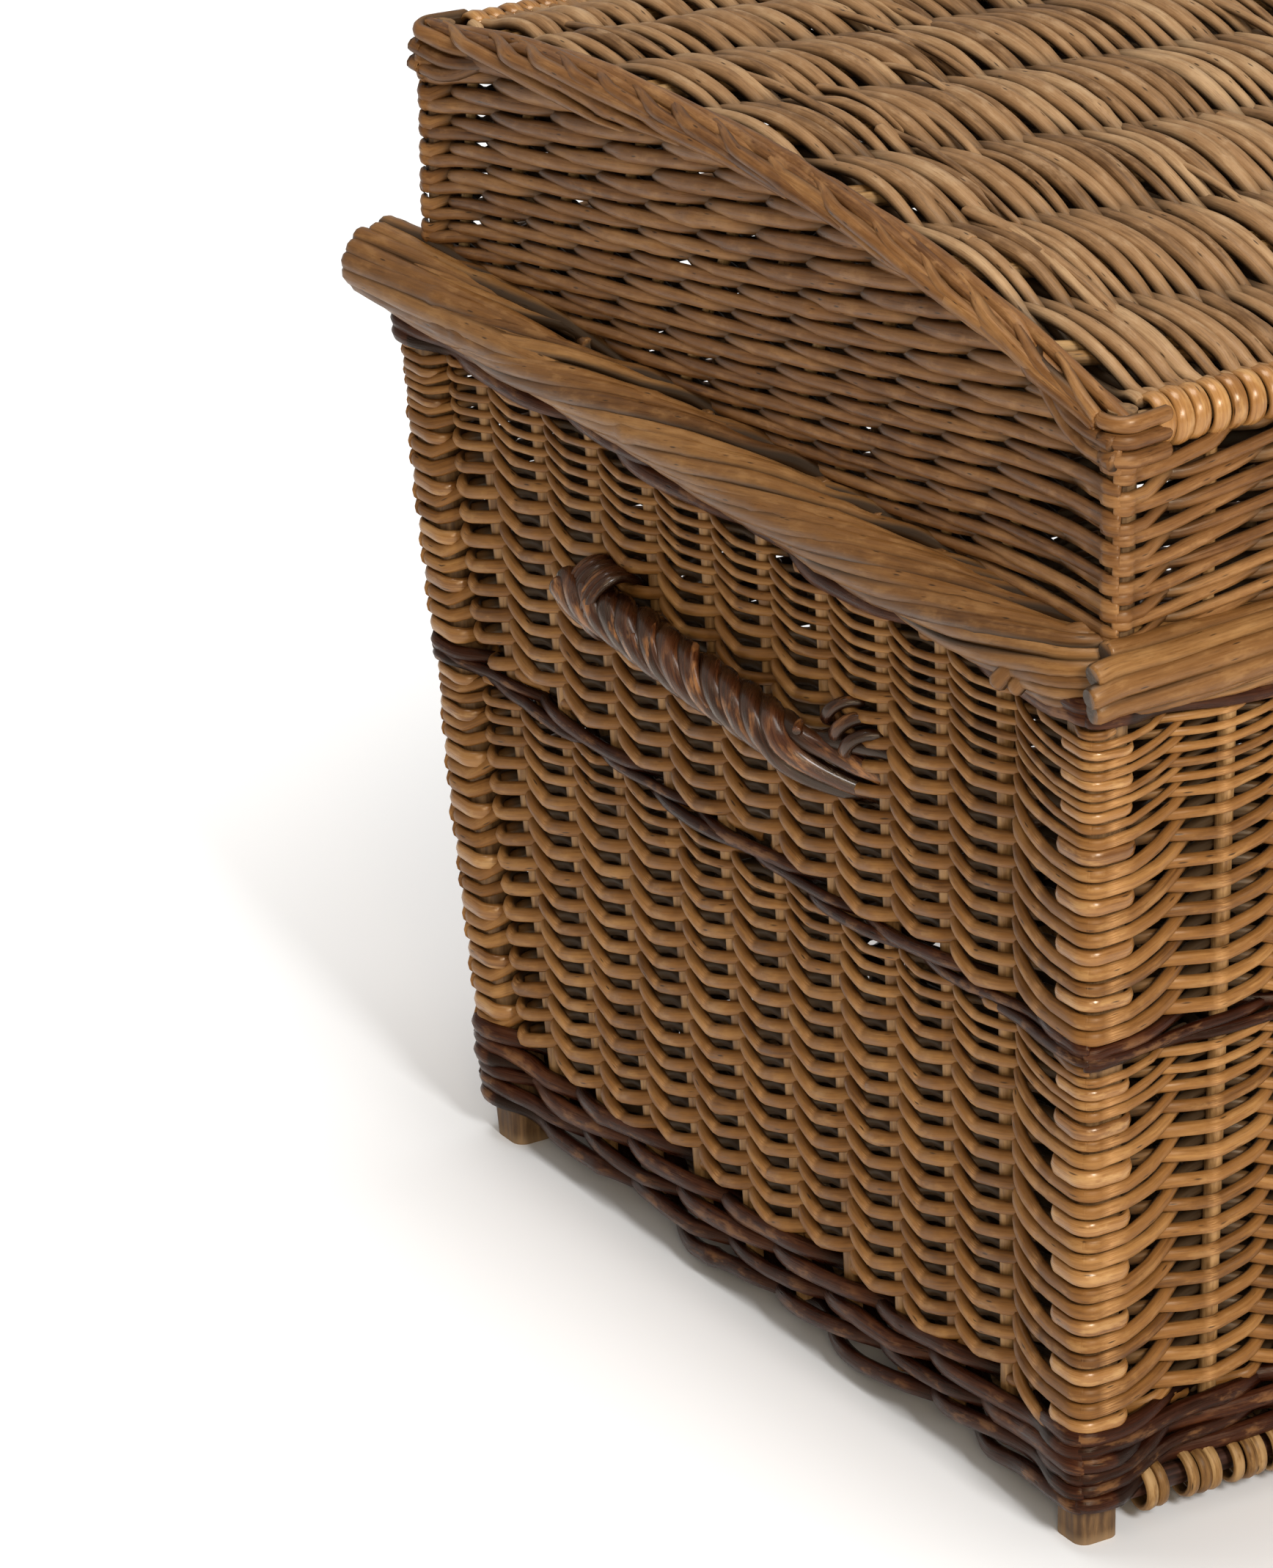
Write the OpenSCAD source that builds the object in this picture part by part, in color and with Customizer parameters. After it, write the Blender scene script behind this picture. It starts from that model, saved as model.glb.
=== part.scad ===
// Wicker storage trunk: woven willow walls on four corner posts, a rolled border, rope handles
// at both ends and a hinged box lid with an arched top.
// +Z is up and the origin is on the floor under the middle. The front faces -Y and the left end -X.

/* [Body] */
// Distance between the corner posts along the length, centre to centre at the rim
body_l = 760; // [640:10:900]
// Distance between the corner posts from front to back, centre to centre at the rim
body_w = 500; // [440:10:600]
// Height of the underside of the rolled border
rim_z = 381; // [350:1:450]
// How far each end leans in from the rim to the floor
lean_x = 24; // [12:1:36]
// How far the front and the back lean in from the rim to the floor
lean_y = 33; // [20:1:40]
// Side of a corner post
post_w = 20; // [16:1:22]
// Edge radius of a corner post
post_r = 5.5; // [3:0.5:7]
// Thickness of the wall weave
wall_t = 16; // [14:1:18]
// Thickness of a dark wale band
wale_t = 18; // [16:1:20]
// Thickness of the weave that wraps a corner post
wrap_t = 5; // [3:0.5:6]
// Diameter of an upright stake
stake_d = 7.4; // [5:0.2:8]

/* [Bands, as heights above the floor] */
// Underside of the bottom wale at the ends
bottom_wale_z0 = 17; // [14:1:24]
// Underside of the bottom wale at the front and back, above the base edge
bottom_wale_front_z0 = 30; // [30:0.5:40]
// Top of the bottom wale
bottom_wale_z1 = 54; // [50:1:70]
// Underside of the middle wale
middle_wale_z0 = 221; // [200:1:240]
// Top of the middle wale
middle_wale_z1 = 233; // [210:1:260]
// Underside of the top wale, which reaches up to the border
top_wale_z0 = 371; // [350:1:374]

/* [Stakes] */
// Stakes in an end wall
end_stakes = 10; // [8:1:11]
// Spacing of the end stakes at the rim
end_pitch = 44; // [38:1:46]
// Offset of the end stakes towards the back
end_shift = 12; // [0:1:14]
// Stakes in the front and in the back wall
front_stakes_n = 17; // [13:2:17]
// Spacing of the front stakes at the rim
front_pitch = 39.75; // [34:0.25:40]

/* [Border] */
// Width of the rolled border
border_w = 34; // [32:1:44]
// Height of the rolled border
border_h = 32; // [30:1:36]
// Offset of the border's centre outside the posts' centres
border_out = 5; // [4:1:7]

/* [Handles] */
// Distance between a handle's roots on the wall
handle_span = 200; // [160:10:220]
// How far the middle of the rope stands off the wall
handle_rise = 27; // [24:1:34]
// Diameter of the rope
handle_d = 20; // [16:1:22]
// Height of the rope
handle_z = 302; // [290:1:320]
// Offset of the handles towards the back
handle_shift = 20; // [0:1:24]

/* [Base] */
// Height of the middle of the base
base_z = 23; // [22:1:24]
// Thickness of the base weave
base_t = 16; // [12:1:16]
// Diameter of the lapped roll along the base's front and back edges
base_roll_d = 23; // [18:1:24]
// Height of the middle of a base roll
base_roll_z = 18; // [16:1:24]
// Distance of a base roll outside the middle of the wall above it
base_roll_out = 3; // [0:1:4]
// Diameter of the rod inside a base roll
base_rod_d = 10; // [8:1:12]
// Sticks that run along the base
base_sticks_n = 7; // [5:1:9]
// Diameter of a base stick
base_stick_d = 9; // [7:1:10]

/* [Lid] */
// Distance between the lid's corner stakes along the length
lid_l = 744; // [624:10:884]
// Distance between the lid's corner stakes from front to back
lid_w = 504; // [444:10:604]
// Height of the lid's side walls at the corners
lid_h = 99.6; // [90:1:140]
// Rise of the lid's top from its edges to its middle
lid_crown = 26; // [16:1:36]
// Thickness of the lid's weave
lid_t = 14; // [12:1:14]
// Diameter of a lid corner stake
lid_post_d = 12; // [10:1:12]
// Diameter of a stake in the lid's walls
lid_stake_d = 5; // [4:0.5:6]
// Spacing of the stakes in the lid's front and back walls
lid_front_pitch = 44; // [34:1:44]
// Spacing of the stakes in the lid's end walls
lid_end_pitch = 38.4; // [34:0.1:39]
// Lean of the stakes in the lid's end walls, in degrees
lid_end_lean = 25; // [0:1:26]
// Diameter of the wrapped roll along the lid's front and back top edges
lid_roll_d = 22; // [18:1:22]
// Diameter of the bar inside a lid roll
lid_bar_d = 10; // [8:1:12]
// Pairs of ribs inside the lid's top
lid_rib_pairs = 6; // [4:1:6]
// Spacing of the pairs of ribs
lid_rib_pitch = 76; // [60:1:78]
// Diameter of a rib
lid_rib_d = 7.5; // [6:0.5:8]
// Diameter of the braid along the lid's arched end edges
lid_edge_d = 11.6; // [9:0.2:12]

/* [Hinge] */
// Height of the hinge axis above the border
hinge_rise = 10; // [10:0.5:12]
// Diameter of the rod that the lid turns on
hinge_d = 9; // [8:0.5:9]
// Radial play of the rod in its loops
hinge_play = 0.08; // [0.04:0.01:0.1]
// Thickness of a willow loop
loop_t = 4; // [3:0.5:4]
// Width of a willow loop
loop_w = 24; // [16:1:24]
// Distance from the middle loop to each outer loop
loop_pitch = 264; // [176:88:264]

/* [Hidden] */
$fn = 48;
// Gap between neighbouring pieces that are bound together
fit = 0.2;
// Gap between the lid and the border it rests on
lid_gap = 0.4;
// A length that reaches past the whole trunk
far = 3000;

FRONT = 0;
RIGHT = 1;
BACK = 2;
LEFT = 3;
SIDES = [FRONT, RIGHT, BACK, LEFT];
CORNERS = [[-1, -1], [1, -1], [1, 1], [-1, 1]];

border_z = rim_z + border_h;
lid_z = border_z + lid_gap;
lid_edge_z = lid_z + lid_h;
lid_chord = lid_w / 2;
arc_r = (lid_chord * lid_chord + lid_crown * lid_crown) / (2 * lid_crown);
arc_z = lid_edge_z + lid_crown - arc_r;
roll_y = lid_w / 2 - 2;
roll_z = lid_edge_z - lid_roll_d / 2;
hinge_y = lid_w / 2;
hinge_z = border_z + hinge_rise;

WILLOW = [0.58, 0.4, 0.22];
LIGHT_WILLOW = [0.66, 0.48, 0.28];
DARK_WILLOW = [0.16, 0.07, 0.04];
STAKE = [0.5, 0.36, 0.2];
POST = [0.45, 0.34, 0.2];

// ---- Walls: each leans in towards the floor and narrows with it ----

function is_end(side) = side == LEFT || side == RIGHT;
function wall_out(side) = (is_end(side) ? body_l : body_w) / 2;
function wall_half(side) = (is_end(side) ? body_w : body_l) / 2;
function wall_lean(side) = atan((is_end(side) ? lean_x : lean_y) / rim_z);
function wall_narrow(side) = is_end(side) ? lean_y : lean_x;
function half_at(side, z) = wall_half(side) - wall_narrow(side) * (rim_z - z) / rim_z;
function slope_at(side, z) = (z - rim_z) / cos(wall_lean(side));
// Which way along a wall leads to the back of the trunk
function to_back(side) = side == RIGHT ? 1 : -1;

// A wall's own frame: X along it, Y up its slope from the rim and Z out of it
module on_wall(side) {
    rotate([0, 0, 90 * side])
        translate([0, -wall_out(side), rim_z])
            rotate([90 + wall_lean(side), 0, 0])
                children();
}

function stake_places(side) = is_end(side)
    ? [for (i = [0 : end_stakes - 1])
        (i - (end_stakes - 1) / 2) * end_pitch + to_back(side) * end_shift]
    : [for (i = [0 : front_stakes_n - 1]) (i - (front_stakes_n - 1) / 2) * front_pitch];

// One stake: it keeps its share of the wall's width all the way down
module stake(side, place, z0, z1, d) {
    low = [place * half_at(side, z0) / wall_half(side), slope_at(side, z0)];
    high = [place * half_at(side, z1) / wall_half(side), slope_at(side, z1)];
    way = high - low;
    on_wall(side)
        translate([low[0], low[1], 0])
            rotate([0, 0, -atan2(way[0], way[1])])
                rotate([-90, 0, 0])
                    cylinder(d = d, h = norm(way));
}

module wall_stakes(side) {
    foot = is_end(side) ? bottom_wale_z0 + 1 : bottom_wale_front_z0 + 1;
    color(STAKE)
        for (place = stake_places(side))
            stake(side, place, foot, rim_z - fit, stake_d);
}

// A band of weave between two posts, with a hole for each stake
module wall_band(side, z0, z1, thick) {
    low = half_at(side, z0) - post_w / 2 - 0.4;
    high = half_at(side, z1) - post_w / 2 - 0.4;
    y0 = slope_at(side, z0);
    y1 = slope_at(side, z1);
    difference() {
        on_wall(side)
            linear_extrude(thick, center = true)
                polygon([[-low, y0], [low, y0], [high, y1], [-high, y1]]);
        for (place = stake_places(side))
            stake(side, place, z0 - 4, z1 + 4, stake_d + 2 * fit);
    }
}

// ---- Corner posts and the weave round them ----

module rounded_square(side, r) {
    square([side, side - 2 * r], center = true);
    square([side - 2 * r, side], center = true);
    for (corner = CORNERS)
        translate(corner * (side / 2 - r))
            circle(r);
}

// A post's own frame, leaning both ways: Z up the post from its foot
module on_post(corner) {
    way = [corner[0] * lean_x, corner[1] * lean_y, rim_z];
    unit = way / norm(way);
    translate([corner[0] * (body_l / 2 - lean_x), corner[1] * (body_w / 2 - lean_y), 0])
        rotate([-asin(unit[1]), atan2(unit[0], unit[2]), 0])
            children();
}

// Cuts what it is given to a range of heights
module between(z0, z1) {
    intersection() {
        children();
        translate([-far / 2, -far / 2, z0])
            cube([far, far, z1 - z0]);
    }
}

module corner_post(corner) {
    color(POST)
        between(0, rim_z - fit)
            on_post(corner)
                translate([0, 0, -10])
                    linear_extrude(rim_z + 40)
                        rounded_square(post_w, post_r);
}

// The weavers round the outside of one post: an L from flank to flank
module corner_wrap(corner, z0, z1, thick) {
    outer = post_w + 2 * thick;
    between(z0, z1)
        on_post(corner)
            translate([0, 0, -10])
                linear_extrude(rim_z + 40)
                    difference() {
                        intersection() {
                            rounded_square(outer, post_r + thick);
                            translate(corner * (thick / 2 + 1))
                                square(post_w + thick + 2, center = true);
                        }
                        rounded_square(post_w + 2 * fit, post_r);
                        translate(-corner * thick)
                            square(post_w + 2 * fit, center = true);
                    }
}

module corner_wraps(z0, z1) {
    color(LIGHT_WILLOW)
        for (corner = CORNERS)
            corner_wrap(corner, z0, z1, wrap_t);
}

// ---- Woven zones and dark wales ----

module lower_weave(side) {
    color(WILLOW)
        wall_band(side, bottom_wale_z1 + fit, middle_wale_z0 - fit, wall_t);
}

module upper_weave(side) {
    color(WILLOW)
        wall_band(side, middle_wale_z1 + fit, top_wale_z0 - fit, wall_t);
}

module wale(end_z0, front_z0, z1) {
    color(DARK_WILLOW) {
        for (side = SIDES)
            wall_band(side, is_end(side) ? end_z0 : front_z0, z1, wale_t);
        for (corner = CORNERS)
            corner_wrap(corner, end_z0, z1, wrap_t + 0.5);
    }
}

// ---- Rolled border: a flat-topped roll along each side, mitred at the corners ----

module border(side) {
    r = border_h / 2;
    flat = border_w - border_h;
    out = wall_out(side);
    half = wall_half(side);
    color(WILLOW)
        rotate([0, 0, 90 * side])
            intersection() {
                translate([0, -out - border_out, rim_z + r])
                    rotate([90, 0, 90])
                        linear_extrude(far, center = true) {
                            square([flat, border_h], center = true);
                            for (s = [-1, 1])
                                translate([s * flat / 2, 0])
                                    circle(r);
                        }
                translate([0, -out, 0])
                    linear_extrude(far)
                        polygon([
                            [-half - 60 + fit, -60], [half + 60 - fit, -60],
                            [half - 60 - fit, 60], [-half + 60 + fit, 60]
                        ]);
            }
}

// ---- Rope handles ----

module handle(side) {
    half = handle_span / 2;
    ring_r = (half * half + handle_rise * handle_rise) / (2 * handle_rise);
    face = wall_t / 2 + 0.05;
    color(DARK_WILLOW)
        on_wall(side)
            translate([to_back(side) * handle_shift, slope_at(side, handle_z), face])
                intersection() {
                    translate([0, 0, handle_rise - ring_r])
                        rotate([-90, 0, 0])
                            rotate_extrude($fn = 128)
                                translate([ring_r, 0])
                                    circle(d = handle_d);
                    translate([-handle_span, -handle_d, 0])
                        cube([2 * handle_span, 2 * handle_d, 2 * handle_span]);
                }
}

// ---- Base: woven round sticks, with a lapped roll along the front and back edges ----

base_low_z = base_roll_z - base_roll_d / 2;
base_half = body_l / 2 - lean_x * (rim_z - base_low_z) / rim_z - post_w / 2 - 0.6;
base_roll_y = body_w / 2 - lean_y * (rim_z - base_z) / rim_z + base_roll_out;

// A bar that runs along the trunk's length
module bar(half, y, z, d) {
    translate([-half, y, z])
        rotate([0, 90, 0])
            cylinder(d = d, h = 2 * half);
}

function base_stick_y(i) = (i - (base_sticks_n - 1) / 2) * 2 * (base_roll_y - 33) / (base_sticks_n - 1);

module base_stick_set(d, half) {
    for (i = [0 : base_sticks_n - 1])
        bar(half, base_stick_y(i), base_z, d);
}

module base_sticks() {
    color(STAKE)
        base_stick_set(base_stick_d, base_half - fit);
}

module base_weave() {
    reach = base_roll_y - base_roll_d / 2 - fit;
    color(WILLOW)
        difference() {
            translate([-base_half, -reach, base_z - base_t / 2])
                cube([2 * base_half, 2 * reach, base_t]);
            base_stick_set(base_stick_d + 2 * fit, base_half + 10);
        }
}

module base_rod(s) {
    color(DARK_WILLOW)
        bar(base_half, s * base_roll_y, base_roll_z, base_rod_d);
}

module base_lap(s) {
    color(LIGHT_WILLOW)
        difference() {
            bar(base_half - fit, s * base_roll_y, base_roll_z, base_roll_d);
            bar(base_half + 10, s * base_roll_y, base_roll_z, base_rod_d + 2 * fit);
        }
}

// ---- Lid ----

// Height of the lid's top surface at a distance from the middle
function arc_at(y) = arc_z + sqrt(arc_r * arc_r - y * y);

lid_inner_x = lid_l / 2 - lid_t / 2;
lid_front_places = [for (i = [-8 : 7]) (i + 0.5) * lid_front_pitch];
lid_end_places = [for (i = [0 : 11]) lid_w / 2 - 22 - i * lid_end_pitch];
lid_middle_z = lid_z + lid_h / 2;

module lid_posts() {
    color(POST)
        for (corner = CORNERS) {
            foot = corner[1] > 0 ? hinge_z - 6.5 : lid_z;
            translate([corner[0] * lid_l / 2, corner[1] * lid_w / 2, foot])
                cylinder(d = lid_post_d, h = lid_edge_z - 2 - foot);
        }
}

// Stakes in the lid's front (s = -1) or back (s = 1) wall; the back ones end on the hinge rod
module lid_front_stake_set(s, d, z0) {
    for (x = lid_front_places)
        translate([x, s * lid_w / 2, z0])
            cylinder(d = d, h = roll_z - lid_roll_d / 2 - 0.8 - z0);
}

module lid_front_stakes() {
    color(STAKE)
        lid_front_stake_set(-1, lid_stake_d, lid_z);
}

module lid_back_stakes() {
    color(STAKE)
        difference() {
            lid_front_stake_set(1, lid_stake_d, hinge_z);
            bar(lid_l / 2, hinge_y, hinge_z, hinge_d + 0.1);
        }
}

module lid_wall(s) {
    foot = s > 0 ? hinge_z + 9 : lid_z;
    half = lid_l / 2 - lid_t / 2 - fit;
    color(WILLOW)
        difference() {
            translate([-half, s * lid_w / 2 - lid_t / 2, foot])
                cube([2 * half, lid_t, roll_z - lid_roll_d / 2 - fit - foot]);
            lid_front_stake_set(s, lid_stake_d + 2 * fit, hinge_z - 20);
        }
}

// Everything under an arc set below the lid's top surface, seen from the end
module under_arc(drop) {
    translate([0, arc_z])
        circle(arc_r - drop, $fn = 360);
}

// An end wall seen from the side, under the braid on its arched edge
module lid_end_profile(half, drop) {
    intersection() {
        translate([-half, lid_z])
            square([2 * half, lid_h + lid_crown]);
        under_arc(lid_edge_d / 2 + drop);
    }
}

module lid_end_slab(s, half, thick, drop) {
    translate([s * lid_l / 2, 0, 0])
        rotate([90, 0, 90])
            linear_extrude(thick, center = true)
                lid_end_profile(half, drop);
}

// The stakes of an end wall fan out from the first upright one to an even lean
module lid_end_stake_set(s, d) {
    for (i = [0 : len(lid_end_places) - 1])
        translate([s * lid_l / 2, -s * lid_end_places[i], lid_middle_z])
            rotate([-s * lid_end_lean * min(1, (i + 0.5) / 2), 0, 0])
                cylinder(d = d, h = 2 * lid_h, center = true);
}

module lid_end_stakes(s) {
    color(STAKE)
        intersection() {
            lid_end_stake_set(s, lid_stake_d);
            lid_end_slab(s, lid_w / 2, 2 * lid_t, 2 * fit);
        }
}

module lid_end_wall(s) {
    color(WILLOW)
        difference() {
            lid_end_slab(s, lid_w / 2 - lid_post_d / 2 - fit, lid_t, fit);
            lid_end_stake_set(s, lid_stake_d + 2 * fit);
        }
}

// The braid laid along the arched top edge of an end wall
module lid_end_edge(s) {
    half = lid_w / 2 - lid_post_d / 2 - fit;
    color(WILLOW)
        intersection() {
            translate([s * lid_l / 2, 0, arc_z])
                rotate([0, 90, 0])
                    rotate_extrude($fn = 360)
                        translate([arc_r, 0])
                            circle(d = lid_edge_d);
            translate([-far / 2, -half, lid_z])
                cube([far, 2 * half, far]);
        }
}

rib_places = [for (i = [0 : lid_rib_pairs - 1], s = [-1, 1])
    (i - (lid_rib_pairs - 1) / 2) * lid_rib_pitch + s * (lid_rib_d / 2 + 0.5)];

module lid_rib_set(d, half) {
    for (y = rib_places)
        bar(half, y, arc_at(y) - lid_t / 2, d);
}

module lid_ribs() {
    color(STAKE)
        lid_rib_set(lid_rib_d, lid_inner_x - 2 * fit);
}

module lid_top_weave() {
    reach = roll_y - lid_roll_d / 2 - fit;
    color(LIGHT_WILLOW)
        difference() {
            rotate([90, 0, 90])
                linear_extrude(2 * (lid_inner_x - fit), center = true)
                    intersection() {
                        difference() {
                            under_arc(0);
                            under_arc(lid_t);
                        }
                        translate([-reach, 0])
                            square([2 * reach, far]);
                    }
            lid_rib_set(lid_rib_d + 2 * fit, lid_inner_x + 10);
        }
}

module lid_bar(s) {
    color(POST)
        bar(lid_inner_x - fit, s * roll_y, roll_z, lid_bar_d);
}

module lid_wrap(s) {
    color(LIGHT_WILLOW)
        difference() {
            bar(lid_inner_x - 2 * fit, s * roll_y, roll_z, lid_roll_d);
            bar(lid_inner_x + 10, s * roll_y, roll_z, lid_bar_d + 2 * fit);
        }
}

// ---- Hinge: the lid turns on a rod held by willow loops that stand on the back border ----

module lid_hinge_rod() {
    color(STAKE)
        bar(lid_l / 2 - lid_post_d / 2 - 0.5, hinge_y, hinge_z, hinge_d);
}

module hinge_loops() {
    stem = 4;
    color(DARK_WILLOW)
        for (i = [-1 : 1])
            translate([i * loop_pitch, 0, 0])
                difference() {
                    union() {
                        bar(loop_w / 2, hinge_y, hinge_z, hinge_d + 2 * hinge_play + 2 * loop_t);
                        translate([-loop_w / 2, body_w / 2 + border_out - stem / 2, border_z + 0.05])
                            cube([loop_w, stem, hinge_rise - 4]);
                    }
                    bar(loop_w, hinge_y, hinge_z, hinge_d + 2 * hinge_play);
                }
}

corner_post(CORNERS[0]);  // post_front_left
corner_post(CORNERS[1]);  // post_front_right
corner_post(CORNERS[2]);  // post_back_right
corner_post(CORNERS[3]);  // post_back_left
wall_stakes(FRONT);  // front_stakes
wall_stakes(RIGHT);  // right_stakes
wall_stakes(BACK);  // back_stakes
wall_stakes(LEFT);  // left_stakes
lower_weave(FRONT);  // front_lower_weave
lower_weave(RIGHT);  // right_lower_weave
lower_weave(BACK);  // back_lower_weave
lower_weave(LEFT);  // left_lower_weave
upper_weave(FRONT);  // front_upper_weave
upper_weave(RIGHT);  // right_upper_weave
upper_weave(BACK);  // back_upper_weave
upper_weave(LEFT);  // left_upper_weave
corner_wraps(bottom_wale_z1 + fit, middle_wale_z0 - fit);  // lower_corner_wraps
corner_wraps(middle_wale_z1 + fit, top_wale_z0 - fit);  // upper_corner_wraps
wale(bottom_wale_z0, bottom_wale_front_z0, bottom_wale_z1);  // bottom_wale
wale(middle_wale_z0, middle_wale_z0, middle_wale_z1);  // middle_wale
wale(top_wale_z0, top_wale_z0, rim_z - 1);  // top_wale
border(FRONT);  // border_front
border(RIGHT);  // border_right
border(BACK);  // border_back
border(LEFT);  // border_left
handle(LEFT);  // handle_left
handle(RIGHT);  // handle_right
base_sticks();
base_weave();
base_rod(-1);  // base_front_rod
base_rod(1);  // base_back_rod
base_lap(-1);  // base_front_lap
base_lap(1);  // base_back_lap
hinge_loops();
lid_posts();
lid_front_stakes();
lid_end_stakes(1);  // lid_right_stakes
lid_back_stakes();
lid_end_stakes(-1);  // lid_left_stakes
lid_wall(-1);  // lid_front_weave
lid_end_wall(1);  // lid_right_weave
lid_wall(1);  // lid_back_weave
lid_end_wall(-1);  // lid_left_weave
lid_ribs();
lid_top_weave();
lid_bar(-1);  // lid_front_bar
lid_bar(1);  // lid_back_bar
lid_wrap(-1);  // lid_front_wrap
lid_wrap(1);  // lid_back_wrap
lid_end_edge(-1);  // lid_left_edge
lid_end_edge(1);  // lid_right_edge
lid_hinge_rod();
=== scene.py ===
"""Wicker storage trunk: the looks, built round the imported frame.

Lengths are millimetres in the frame's own axes until a mesh is made: +Z up, the front faces -Y and the left
end -X. Every woven panel is a set of separate willow rods, swept as tubes along the path that a weaver takes.
"""
import math

import bpy
import numpy as np
from mathutils import Matrix, Vector


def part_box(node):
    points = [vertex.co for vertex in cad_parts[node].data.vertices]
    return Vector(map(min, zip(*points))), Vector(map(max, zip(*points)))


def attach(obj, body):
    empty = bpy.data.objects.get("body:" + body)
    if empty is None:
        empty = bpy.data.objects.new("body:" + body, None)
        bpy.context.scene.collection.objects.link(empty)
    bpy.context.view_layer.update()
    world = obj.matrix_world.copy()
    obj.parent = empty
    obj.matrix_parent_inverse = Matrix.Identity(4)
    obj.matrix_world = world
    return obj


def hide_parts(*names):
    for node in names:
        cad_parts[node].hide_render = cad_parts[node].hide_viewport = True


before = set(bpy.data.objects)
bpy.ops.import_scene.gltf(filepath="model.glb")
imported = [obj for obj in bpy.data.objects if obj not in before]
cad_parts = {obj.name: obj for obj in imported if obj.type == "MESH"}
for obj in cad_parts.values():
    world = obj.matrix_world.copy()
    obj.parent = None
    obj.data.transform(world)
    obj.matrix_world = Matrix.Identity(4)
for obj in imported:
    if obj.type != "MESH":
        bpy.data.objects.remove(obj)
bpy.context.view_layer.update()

MM = 0.001
FRONT, RIGHT, BACK, LEFT = range(4)
SIDE_NAMES = ("front", "right", "back", "left")


def low_high(node):
    """A CAD node's lowest and highest corners in millimetres."""
    low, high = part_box(node)
    return np.array(low) / MM, np.array(high) / MM


# ---- Driving dimensions, read from the frame ----

RIM_Z = low_high("border_front")[0][2]
BORDER_TOP = low_high("border_front")[1][2]
POST_R = 10.0
POST_EDGE = 5.5
LID_POST_R = 6.0
LID_HALF_L = -low_high("lid_posts")[0][0] - LID_POST_R
LID_HALF_W = -low_high("lid_posts")[0][1] - LID_POST_R
BODY_HALF_L = LID_HALF_L + 8.0
BODY_HALF_W = LID_HALF_W - 2.0
LEAN_X, LEAN_Y = 24.0, 33.0
WALE_LOW = low_high("bottom_wale")[0][2]
WALE_FRONT_LOW = 30.0
STAKE_R = 3.7
END_STAKES = [(i - 4.5) * 44.0 - 12.0 for i in range(10)]
FRONT_STAKES = [(i - 8) * 39.75 for i in range(17)]
LID_LOW = low_high("lid_left_weave")[0][2]
ROLL_Y = -(low_high("lid_front_bar")[0][1] + low_high("lid_front_bar")[1][1]) / 2
ROLL_Z = (low_high("lid_front_bar")[0][2] + low_high("lid_front_bar")[1][2]) / 2
ROLL_R = 11.0
CROWN_Z = low_high("lid_top_weave")[1][2]
EDGE_Z = ROLL_Z + ROLL_R
ARC_R = (LID_HALF_W ** 2 + (CROWN_Z - EDGE_Z) ** 2) / (2 * (CROWN_Z - EDGE_Z))
ARC_Z = CROWN_Z - ARC_R
LID_IN = low_high("lid_top_weave")[1][0]
HINGE_Z = BORDER_TOP + 10.0


# ---- Rods: tubes swept along a path ----

KNOT_EVERY = 110
KNOT_HALF = 4.5
STEADY_END = 12
BUNCHED, SPACED = 0.3, 0.8


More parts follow.
